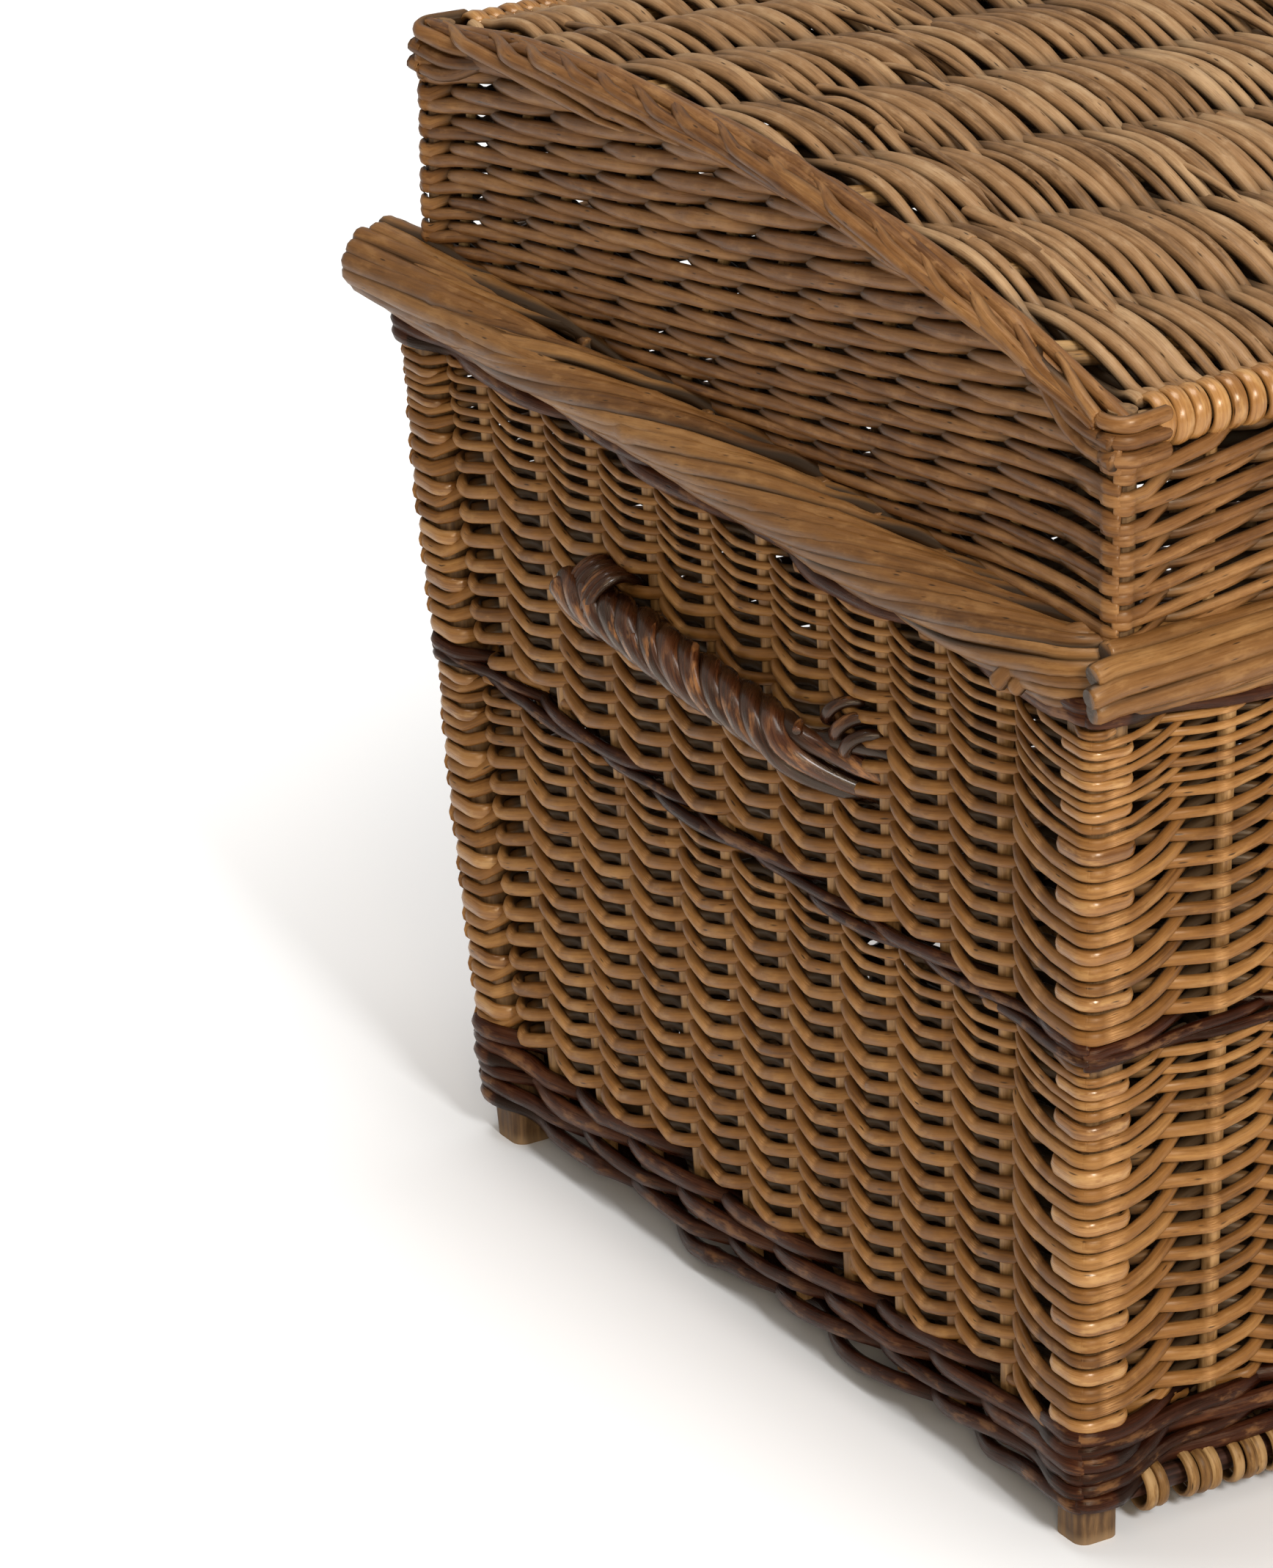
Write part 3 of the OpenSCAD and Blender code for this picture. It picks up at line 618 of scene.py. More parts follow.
DARK_BAR = plain_wood("dark_bar", (0.012, 0.006, 0.004), (0.07, 0.026, 0.014), 0, 0.4)


def finish_piece(rods, material, slot, body, *nodes):
    """Makes the rods' mesh, gives it its material and lets it stand for its CAD nodes."""
    piece = rods.make()
    piece.data.materials.append(material)
    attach(piece, body)
    if nodes:
        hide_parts(*nodes)
    return piece


# ---- Woven body ----

LOWER = Ladder(47, 236, [5.9] * 24 + [5.0] * 3 + [3.9] * 8)
UPPER = Ladder(224, RIM_Z + 7, [5.7] * 18 + [4.8] * 3 + [3.5] * 14)
CORNERS = {LEFT: (3, 0), FRONT: (0, 1), RIGHT: (1, 2), BACK: (2, 3)}
PARITY = {LEFT: 2, FRONT: 1, RIGHT: 1, BACK: 2}


def stakes_of(side):
    if side in (FRONT, BACK):
        return FRONT_STAKES
    return END_STAKES if side == LEFT else [-s for s in reversed(END_STAKES)]


def middle_line(side, along):
    """Height of the middle wale: it hangs lowest in the middle of a wall."""
    wall = body_wall(side)
    t = np.asarray(along, float) / wall.half
    sag = 9 if side in (LEFT, RIGHT) else 7
    return 232.5 + 2.5 * t * (1 if side == LEFT else 0) - sag * (1 - t * t)


def corner_lift(side, along):
    """How much the top edge of the weave rises at the front left corner."""
    wall = body_wall(side)
    if side == LEFT:
        return 13 * np.exp(-(wall.half - along) / 75)
    if side == FRONT:
        return 13 * np.exp(-(wall.half + along) / 75)
    return np.zeros(np.shape(along))


LOWER_TOP, UPPER_LOW = 229, 240


def build_body_walls():
    """The lower and upper weave of each wall, apart where the middle wale runs."""
    for side in range(4):
        end = side in (LEFT, RIGHT)
        common = (body_wall(side), stakes_of(side))
        shape = (PLAIN_END, RISE_ACROSS, 4) if end else (PLAIN_FRONT, RISE_AFTER, 8)
        settings = dict(stake_r=STAKE_R, post_r=POST_R, corners=CORNERS[side], corner_low=-0.8, pairs=True,
                        anchor=1 if side == LEFT else 0, breaks=0.03,
                        thick=1.07 if side in (LEFT, FRONT) else 1.45)
        low = 47 if end else 52
        rods = Rods(f"{SIDE_NAMES[side]}_lower_rods", 100 + side)
        weave(rods, *common, LOWER, *shape, PARITY[side], floor=lambda a: np.full(np.shape(a), low),
              cover=lambda a: middle_line(side, a) - 3.5, **settings)
        finish_piece(rods, BODY, "willow_body", "trunk", f"{SIDE_NAMES[side]}_lower_weave")
        rods = Rods(f"{SIDE_NAMES[side]}_upper_rods", 110 + side)
        weave(rods, *common, UPPER, *shape, PARITY[side], floor=lambda a: middle_line(side, a) + 3.5,
              cover=lambda a: RIM_Z - 9 + corner_lift(side, a), **settings)
        finish_piece(rods, BODY, "willow_body", "trunk", f"{SIDE_NAMES[side]}_upper_weave")


def post_place(corner, z):
    """The middle of a corner post at height z."""
    depth = (RIM_Z - z) / RIM_Z
    x, y = BODY_HALF_L - LEAN_X * depth, BODY_HALF_W - LEAN_Y * depth
    return np.array([corner[0] * x, corner[1] * y, z])


def ring_round(centre, reach, edge):
    """A closed rounded square round a post, and its outward directions."""
    flat = reach - edge
    points, outs = [], []
    for quarter in range(4):
        turn = quarter * math.pi / 2
        middle = flat * math.sqrt(2) * np.array([math.cos(turn + math.pi / 4), math.sin(turn + math.pi / 4)])
        for angle in np.linspace(turn, turn + math.pi / 2, 10):
            way = np.array([math.cos(angle), math.sin(angle)])
            points.append([*(centre[:2] + middle + edge * way), centre[2]])
            outs.append([*way, 0.0])
    return np.array(points), np.array(outs)


def build_corner_bands():
    """Rings round the posts, between the weavers that turn the corners."""
    for zone, ladder, seed, low, high in (("lower", LOWER, 7, 0, LOWER_TOP),
                                          ("upper", UPPER, 8, UPPER_LOW, RIM_Z - 11)):
        rods = Rods(f"{zone}_corner_bands", seed)
        for corner in ((-1, -1), (1, -1), (1, 1), (-1, 1)):
            row = 1.87 if corner[1] < 0 else 2.87
            lift = 14 if zone == "upper" and corner == (-1, -1) else 0
            while row < ladder.rows + 4:
                z = float(ladder.z(row))
                radius = 0.5 * 1.3 * float(ladder.pitch(row))
                row += 4 if row < ladder.rows - 1 else 1.35
                if not low <= z <= high + lift:
                    continue
                points, outs = ring_round(post_place(corner, z), POST_R + 0.55 * radius,
                                          POST_EDGE + 0.5 * radius)
                tilt = rods.rng.normal(0, 0.025, 2)
                points[:, 2] += (points[:, :2] - points[:, :2].mean(0)) @ tilt
                rods.add(points, radius, outs, 1.0, flat=0.55, closed=True, wobble=0.2)
        finish_piece(rods, GLOSSY, "willow_glossy", "trunk", f"{zone}_corner_wraps")


def wale_rods(rods, side, low, high, count, radius, swing):
    """Rounds of a dark wale: over two stakes and behind one, and outside every post."""
    wall, stakes = body_wall(side), stakes_of(side)
    knots = np.array([-wall.half] + list(stakes) + [wall.half])
    last = len(knots) - 1
    phi = np.linspace(0, last, last * 10 + 1)
    along = np.interp(phi, np.arange(last + 1), knots)
    near_post = smooth(np.maximum(1 - phi / CORNER_REACH, 1 - (last - phi) / CORNER_REACH))
    for i in range(count):
        turn = phi + i
        wave = soften(keyed(turn, TWILL["wave"], 3), 4)
        zig = soften(keyed(turn, [(0, 0.4), (0.5, -1), (2.3, 1), (3, 0.4)], 3), 4)
        thick = radius * rods.rng.uniform(0.86, 1.12)
        floor, top = low(along), high(along)
        z = floor + (top - floor) * (i + 0.5 + swing * zig * (1 - near_post)) / count
        n = wave * (STAKE_R + thick * 0.85) * (1 - near_post) + (POST_R + thick * 0.7) * near_post
        path = wall.point(along, z, n)
        first = corner_arc(wall, -1, z[0], POST_R, thick, 0.7)
        final = corner_arc(wall, 1, z[-1], POST_R, thick, 0.7)
        path = np.concatenate([first[::-1], path[1:-1], final])
        wave = np.concatenate([np.ones(len(first)), wave[1:-1], np.ones(len(final))])
        # Painted shade: a wale rod is painted darker where it passes behind a stake.
        rods.add(path, thick, outward(path, wall), 0.5 + 0.5 * np.clip(wave, -1, 1), flat=0.85, wobble=1.1)


def build_wales():
    """The bottom, middle and top wales: six, three and two dark rounds."""
    bottom = Rods("bottom_wale_rods", 21)
    middle = Rods("middle_wale_rods", 22)
    top = Rods("top_wale_rods", 23)
    for side in range(4):
        wall = body_wall(side)
        end = side in (LEFT, RIGHT)

        def low(along):
            t = along / wall.half
            if end:
                return WALE_LOW + 1 - 9 * (1 - t * t)
            rise = WALE_FRONT_LOW - WALE_LOW - 3
            return WALE_LOW + 2 + rise * smooth((wall.half - np.abs(along) - 8) / 32)

        def high(along):
            return 57 - (8 if end else 1) * smooth((wall.half - np.abs(along) - 5) / 40)

        wale_rods(bottom, side, low, high, 6, 4.1 if end else 3.9, 0.55)
        wale_rods(middle, side, lambda a: middle_line(side, a) - 5, lambda a: middle_line(side, a) + 4,
                  3, 2.8, 0.8)
        wale_rods(top, side, lambda a: RIM_Z - 10 + 1.1 * corner_lift(side, a),
                  lambda a: RIM_Z + 1 + 1.1 * corner_lift(side, a), 2, 3.9, 0.25)
    finish_piece(bottom, WALE, "dark_willow", "trunk", "bottom_wale")
    finish_piece(middle, WALE, "dark_willow", "trunk", "middle_wale")
    finish_piece(top, WALE, "dark_willow", "trunk", "top_wale")


# ---- Rolled border ----

BORDER_OUT = 5.0
BORDER_WIDE, BORDER_TALL = 16.5, 14.8
BORDER_MID = (RIM_Z + BORDER_TOP) / 2 - 0.5
LOOP_EDGE = 20.0
LOOP_X, LOOP_Y = BODY_HALF_L + BORDER_OUT, BODY_HALF_W + BORDER_OUT
STRANDS, STRAND_RUN = 92, 330
STRAND_START, STRAND_TURN = math.radians(-118), math.radians(272)
STRAND_RADII = (3.3, 4.5)
CORE_R = 11.3


def loop_at(u):
    """Points on the border's middle line from the left end of the front, outward directions, and length."""
    bend = LOOP_EDGE * math.pi / 2
    legs = [2 * (LOOP_X - LOOP_EDGE), bend, 2 * (LOOP_Y - LOOP_EDGE), bend]
    u = np.mod(np.asarray(u, float), 2 * sum(legs))
    point = np.zeros(u.shape + (2,))
    way = np.zeros(u.shape + (2,))
    begin = 0.0
    straight_starts = [(-(LOOP_X - LOOP_EDGE), -LOOP_Y), (LOOP_X, -(LOOP_Y - LOOP_EDGE)),
                       (LOOP_X - LOOP_EDGE, LOOP_Y), (-LOOP_X, LOOP_Y - LOOP_EDGE)]
    for quarter in range(4):
        turn = quarter * math.pi / 2
        ahead = np.array([math.cos(turn), math.sin(turn)])
        out = np.array([math.sin(turn), -math.cos(turn)])
        length = legs[0] if quarter % 2 == 0 else legs[2]
        on = (u >= begin) & (u < begin + length)
        start = np.array(straight_starts[quarter])
        point[on] = start + (u[on] - begin)[:, None] * ahead
        way[on] = out
        begin += length
        on = (u >= begin) & (u <= begin + legs[1])
        centre = start + length * ahead - out * LOOP_EDGE
        angle = (u[on] - begin) / LOOP_EDGE
        spin = np.cos(angle)[:, None] * out + np.sin(angle)[:, None] * ahead
        point[on] = centre + LOOP_EDGE * spin
        way[on] = spin
        begin += legs[1]
    return point, way, begin


def border_lift(point):
    """The border rises a little towards the front left corner."""
    gap = np.hypot(point[:, 0] + LOOP_X, point[:, 1] + LOOP_Y)
    return 5.0 * np.exp(-gap / 60)


def border_path(u, theta, radius, out_by=0.0, straight=None):
    """A strand on the border: u along its middle line, theta round it from the outer face upwards."""
    point, way, _ = loop_at(u) if straight is None else straight(u)
    wide = BORDER_WIDE - radius * 0.7 + out_by
    tall = BORDER_TALL - radius * 0.7 + out_by
    inner = 5.5 * smooth((theta - 1.75) / 0.6)
    z = BORDER_MID + border_lift(point) + tall * np.sin(theta) + inner
    path = np.concatenate([point + way * (wide * np.cos(theta))[:, None], z[:, None]], 1)
    out = np.concatenate([way * (np.cos(theta) / BORDER_WIDE)[:, None],
                          (np.sin(theta) / BORDER_TALL)[:, None]], 1)
    return path, out / np.linalg.norm(out, axis=1)[:, None]


def build_border():
    """Strands laid slantwise round a core, each with its ends tucked under the next ones."""
    total = loop_at(np.array([0.0]))[2]
    long, bend, short = (2 * (LOOP_X - LOOP_EDGE), LOOP_EDGE * math.pi / 2, 2 * (LOOP_Y - LOOP_EDGE))
    bounds = np.cumsum([long + bend / 2, short + bend, long + bend, short + bend])
    sides = [Rods(f"border_{name}_strands", 31 + i) for i, name in enumerate(SIDE_NAMES)]
    rng = sides[0].rng
    for i in range(STRANDS):
        t = np.linspace(0, 1, 72)
        u = (i + rng.uniform(-0.16, 0.16)) * total / STRANDS + STRAND_RUN * rng.uniform(0.93, 1.07) * t
        rods = sides[int(np.searchsorted(bounds, u.mean() % total)) % 4]
        theta = STRAND_START + STRAND_TURN * t + rng.uniform(-0.08, 0.08)
        full = rng.uniform(*STRAND_RADII)
        radius = full * (0.5 + 0.5 * smooth(t / 0.15)) * (0.8 + 0.2 * smooth((1 - t) / 0.06))
        path, out = border_path(u, theta, radius, rng.uniform(-0.8, 1.3))
        rods.add(path, radius, out, 0.95, flat=0.9, sides=10, wobble=0.6)
    add_corner_starts(sides[FRONT])
    for side in range(4):
        add_stubs(sides[side], side)
    add_cut_ends(sides[LEFT])
    add_crossing(sides[LEFT])
    # Painted shade: the core shows only in the gaps between strands, and its low expose paints it in the
    # border's shade colour.
    core = np.linspace(0, total, 260, endpoint=False)
    point, way, _ = loop_at(core)
    path = np.concatenate([point, (BORDER_MID + border_lift(point))[:, None]], 1)
    filler = Rods("border_core", 39)
    filler.add(path, CORE_R, np.concatenate([way, np.zeros((len(core), 1))], 1), 0.45, flat=1.0, closed=True,
               wobble=0, knots=False)
    finish_piece(filler, BORDER, "willow_border", "trunk")
    for rods, name in zip(sides, SIDE_NAMES):
        finish_piece(rods, BORDER, "willow_border", "trunk", f"border_{name}")


def add_stubs(rods, side):
    """The cut ends of the stakes, turned down on the inner top of the border."""
    wall = body_wall(side)
    for s in stakes_of(side):
        t = np.linspace(0, 1, 8)
        at = s + rods.rng.uniform(-5, 5)
        long = rods.rng.uniform(20, 34)
        path = wall.point(at - long * (1 - t), BORDER_MID + 8.5 + 4.5 * t, BORDER_OUT - 17 + 9 * t)
        rods.add(path, rods.rng.uniform(2.9, 3.7), wall.normal + [0, 0, 1.5], 1.0, flat=0.95, sides=10,
                 wobble=0.2, knots=False, blunt=0.93)


def add_corner_starts(rods):
    """Thick strands that start with a cut end at the front left corner and run on along the front."""
    def straight(u):
        point = np.stack([u - LOOP_X, np.full(len(u), -LOOP_Y)], 1)
        return point, np.tile([0.0, -1.0], (len(u), 1)), 0.0

    for i, angle in enumerate((-0.45, 0.1, 0.65, 1.2, 1.7)):
        t = np.linspace(0, 1, 60)
        u = (-9, -12, -8, 2, 12)[i] + (250 + 30 * i) * t
        theta = angle + 1.5 * t
        radius = rods.rng.uniform(4.4, 5.2) * (1 - 0.4 * smooth((t - 0.8) / 0.2))
        path, out = border_path(u, theta, radius, 2.6 * (1 - smooth((t - 0.4) / 0.6)), straight)
        rods.add(path, radius, out, 1.0, flat=0.9, sides=12, wobble=0.5, blunt=0.86)


def add_cut_ends(rods):
    """The left border's first strands: their cut ends stand past the back left corner."""
    def straight(u):
        point = np.stack([np.full(len(u), -LOOP_X), LOOP_Y + 17 - u], 1)
        return point, np.tile([-1.0, 0.0], (len(u), 1)), 0.0

    for i, angle in enumerate((-1.25, -0.75, -0.3, 0.15, 0.6, 1.05, 1.5, 2.0)):
        t = np.linspace(0, 1, 56)
        u = -rods.rng.uniform(8, 15) + (130, 170, 210, 160, 230, 150, 210, 190)[i] * t
        radius = rods.rng.uniform(4.5, 5.2) * (1 - 0.6 * smooth((t - 0.5) / 0.5))
        path, out = border_path(u, angle + 1.2 * t, radius, 1.0 - 4.5 * smooth((t - 0.55) / 0.45), straight)
        rods.add(path, radius, out, 0.95, flat=0.9, sides=10, wobble=0.4, blunt=0.9)
    # A core under the cut ends; its low expose paints it in the border's shade colour.
    u = np.linspace(-7, 60, 24)
    point, way, _ = straight(u)
    path = np.concatenate([point, np.full((len(u), 1), BORDER_MID)], 1)
    rods.add(path, 9.5, np.concatenate([way, np.zeros((len(u), 1))], 1), 0.5, flat=1.0, wobble=0.2, blunt=0.9)


def add_crossing(rods):
    """Two strands that come up from under the left border and cross the corner to its top."""
    for shift in (0.0, 8.5):
        t = np.linspace(0, 1, 30)
        x = -LOOP_X - 17 + 2 * np.sin(math.pi * t) + 24 * t ** 1.5 + 0.3 * shift
        y = -LOOP_Y + 42 - shift - 30 * t
        z = BORDER_MID - 8 + 24 * np.sin(math.pi / 2 * t) + 3.5 * t
        path = np.stack([x, y, z], 1)
        out = np.stack([-np.cos(1.3 * t), -0.5 * np.ones(len(t)), np.sin(1.3 * t) + 0.2], 1)
        rods.add(path, 4.0, out, 1.0, flat=0.8, sides=12, wobble=0.3)


# ---- Rope handles ----

HANDLE_Z = 306.0
HANDLE_FAR, HANDLE_LONG, HANDLE_DROP = -118, 207, 5
ROPE_RODS, ROPE_TURNS = 5, 2.5
ROPE_RADII, ROPE_REACH, SPLIT_REACH = (4.9, 5.7), 6.6, 9.3


def handle_line(t):
    """The rope's middle line: place along the wall towards its front end, and distance from the wall."""
    return HANDLE_FAR + HANDLE_LONG * t, np.interp(t, [0, 0.2, 0.45, 0.7, 1], [17.5, 18.5, 19.5, 20.5, 22.5])


def build_handle(side, seed):
    """A rope of stained rods: it wraps a stake at its far end and splays into the weave at the near one."""
    wall = body_wall(side)
    rods = Rods(f"handle_{SIDE_NAMES[side]}_rope", seed)
    rng = rods.rng
    for i in range(ROPE_RODS):
        t = np.linspace(-0.02, 1.0, 120)
        along, n = handle_line(t)
        turn = 2 * math.pi * (i / ROPE_RODS - t * ROPE_TURNS) + 0.2 * math.sin(3 * i)
        splay = smooth((t - 0.8) / 0.2)
        close = smooth((0.1 - t) / 0.1)
        reach = ROPE_REACH * (1 - 0.35 * close) + rng.uniform(-0.4, 0.6)
        z = HANDLE_Z + reach * np.sin(turn) + splay * ((i - 2) * 6 - 6) - HANDLE_DROP * t
        depth = n + reach * np.cos(turn) * (1 - 0.6 * splay) - 27 * smooth((t - 0.84) / 0.16)
        path = wall.point(along + splay * ((i * 5) % 4) * 7, z, depth)
        radius = rng.uniform(*ROPE_RADII) * (1 - 0.3 * splay)
        # Painted shade: each strand is darker where it turns in towards the wall behind the rope.
        rods.add(path, radius, round_out(wall, turn), 0.6 + 0.4 * np.cos(turn), sides=12, wobble=0.8)
    for i in range(ROPE_RODS):
        t = np.linspace(0.0, 1.0, 120)
        along, n = handle_line(t)
        turn = 2 * math.pi * (i / ROPE_RODS + 0.05 - t * ROPE_TURNS)
        z = HANDLE_Z + SPLIT_REACH * np.sin(turn) - HANDLE_DROP * t
        path = wall.point(along, z, n + SPLIT_REACH * np.cos(turn))
        part = slice(int(rng.uniform(0, 50)), int(rng.uniform(75, 108)))
        rods.add(path[part], rng.uniform(1.4, 2.1), round_out(wall, turn)[part], 1.0, tone=0.95, wobble=0.8)
    for i in range(8):
        spin = np.linspace(-2.6, 2.9, 34)
        reach = 11.5 + 0.25 * i
        n = 8 + 0.7 * i + reach * np.cos(spin)
        z = HANDLE_Z + (reach + 2) * np.sin(spin)
        path = wall.point(HANDLE_FAR + 3.6 * i + 3.4 * np.sin(spin) + 5 * spin / 5.5, z, n)
        # Painted shade: the wraps are darker where they turn in towards the wall.
        rods.add(path, rng.uniform(2.3, 3.0), round_out(wall, spin), 0.75 + 0.25 * np.cos(spin), wobble=0.5)
    for i in range(3):
        spin = np.linspace(-2.0, 2.0, 24)
        n = 5.5 + 7.5 * np.cos(spin)
        z = HANDLE_Z + 13 - 5 * i + 6.5 * np.sin(spin)
        path = wall.point(74 + 7 * i + 5 * spin, z, n)
        rods.add(path, rng.uniform(2.7, 3.3), round_out(wall, spin), 0.9, sides=10, wobble=0.5)
    finish_piece(rods, DARK, "dark_willow", "trunk", f"handle_{SIDE_NAMES[side]}")


# ---- Base ----

BASE_PITCH = 5.65
BASE_LAP_R = 11.3


def build_base():
    """Rods over and under the sticks of the base, and pairs of rods lapped round the bars at its edges."""
    low, high = low_high("base_weave")
    stick_low, stick_high = low_high("base_sticks")
    mid = (stick_low[2] + stick_high[2]) / 2
    sticks = np.linspace(stick_low[1] + 4.5, stick_high[1] - 4.5, 7)
    rods = Rods("base_weave_rods", 51)
    number = int((high[0] - low[0]) / BASE_PITCH)
    for i in range(number):
        x = low[0] + (i + 0.5) * (high[0] - low[0]) / number
        y = np.arange(low[1] + 1, high[1] - 1, 5.0)
        order = np.interp(y, [sticks[0] - 60] + list(sticks) + [sticks[-1] + 60], np.arange(-1, 8))
        wave = np.cos(math.pi * (order + i))
        path = np.stack([np.full(len(y), x), y, mid + 5.0 * wave], 1)
        # Painted shade: a rod is darker where it passes above a stick, deeper in from the underside.
        rods.add(path, 3.2, (0, 0, -1.0), 0.6 - 0.35 * wave)
    finish_piece(rods, BASE, "base_willow", "trunk", "base_weave")
    for s, name in ((-1, "front"), (1, "back")):
        bar_low, bar_high = low_high(f"base_{name}_rod")
        roll_y, roll_z = (bar_low[1:] + bar_high[1:]) / 2
        laps = Rods(f"base_{name}_lap_rods", 53 + s)
        rng = laps.rng
        x = low[0] + 13.0
        while x < high[0] - 12:
            for offset in (0.0, 5.9, 11.6)[: 2 + int(rng.uniform() < 0.35)]:
                angle = np.linspace(math.radians(125), math.radians(-230), 40)
                radius = rng.uniform(2.7, 3.2)
                reach = BASE_LAP_R - 0.6 * radius + rng.uniform(-0.3, 0.5)
                slant = np.linspace(-2.4, 2.4, len(angle)) + rng.normal(0, 0.4)
                path, out = round_bar(x + offset + slant, s * roll_y, roll_z, s, reach, angle)
                laps.add(path, radius, out, 1.0, flat=0.6, wobble=0.25)
            x += rng.uniform(19, 23)
        finish_piece(laps, BASE, "base_willow", "trunk", f"base_{name}_lap")


# ---- Lid ----

LID_ROWS = [3.6] * 4 + [3.9] * 4 + [4.2] * 8 + [4.6] * 3 + [5.4] * 8
LID_LADDER = Ladder(LID_LOW - 1.0, LID_LOW - 1.0 + sum(LID_ROWS), LID_ROWS)
LID_END_MIDS = [LID_HALF_W - 22 - i * 38.4 for i in range(12)]
LID_END_LEAN = [math.tan(math.radians(25 * min(1, (i + 0.5) / 2))) for i in range(12)]
LID_MID_Z = LID_LOW + (EDGE_Z - LID_LOW) / 2
LID_FRONT_STAKES = [(i + 0.5) * 44.0 for i in range(-8, 8)]


def arc_at(y):
    """Height of the lid's arch at y."""
    return ARC_Z + np.sqrt(ARC_R ** 2 - np.asarray(y, float) ** 2)


def end_lean(along, z):
    """Carries a place on the lid's end wall along its leaning stakes to height z."""
    knots = [-LID_HALF_W] + [-y for y in LID_END_MIDS] + [LID_HALF_W]
    slopes = [0.0] + LID_END_LEAN + [0.0]
    return along + np.interp(along, knots, slopes) * (z - LID_MID_Z)


def build_lid_walls():
    for side in range(4):
        wall = lid_wall(side)
        name = f"lid_{SIDE_NAMES[side]}_weave"
        rods = Rods(f"{name}_rods", 61 + side)
        common = dict(stake_r=2.1, post_r=LID_POST_R, corners=(side, (side + 1) % 4),
                      thick={LEFT: 1.5, FRONT: 1.4, RIGHT: 1.7, BACK: 1.4}[side])
        if side in (LEFT, RIGHT):
            weave(rods, wall, [-y for y in LID_END_MIDS], LID_LADDER, TWILL, TWILL_RISE, 13, 0,
                  cover=lambda a: arc_at(np.clip(a, -250, 250)) - 8, lean=end_lean, over_arch=110, **common)
        else:
            top = ROLL_Z - ROLL_R
            ladder = LID_LADDER if side == FRONT else Ladder(HINGE_Z + 9.5, top, [4.2] * 13)
            weave(rods, wall, LID_FRONT_STAKES, ladder, TWILL, TWILL_RISE, 12, 1,
                  cover=lambda a: np.full(np.shape(a), top + 3.0), **common)
        finish_piece(rods, LID_WALL, "willow_lid_wall", "lid", name)


RIB_PITCH = 76.0
TOP_PITCH = 4.25
TOP_END = 246.5
TOP_DEEP = 9.2
TOP_RADII, WRAP_RADII = (2.4, 3.9), (3.8, 4.5)
RIB_SWEEP, RIB_R, RIB_HALF_GAP = 72, 3.7, 4.3


def rib_places(x):
    """Where the pairs of ribs cross a rod at x. They sweep back at the left end and forward at the right."""
    places = []
    for k in range(-4, 5):
        straight = (k - 0.5) * RIB_PITCH
        sweep = RIB_SWEEP * math.exp(-(x + LID_HALF_L) / 180) - RIB_SWEEP * math.exp(-(LID_HALF_L - x) / 180)
        room = np.clip((236 - abs(straight)) / 90, 0.12, 1) if straight * sweep > 0 else 1.0
        places.append(straight + sweep * room)
    return places


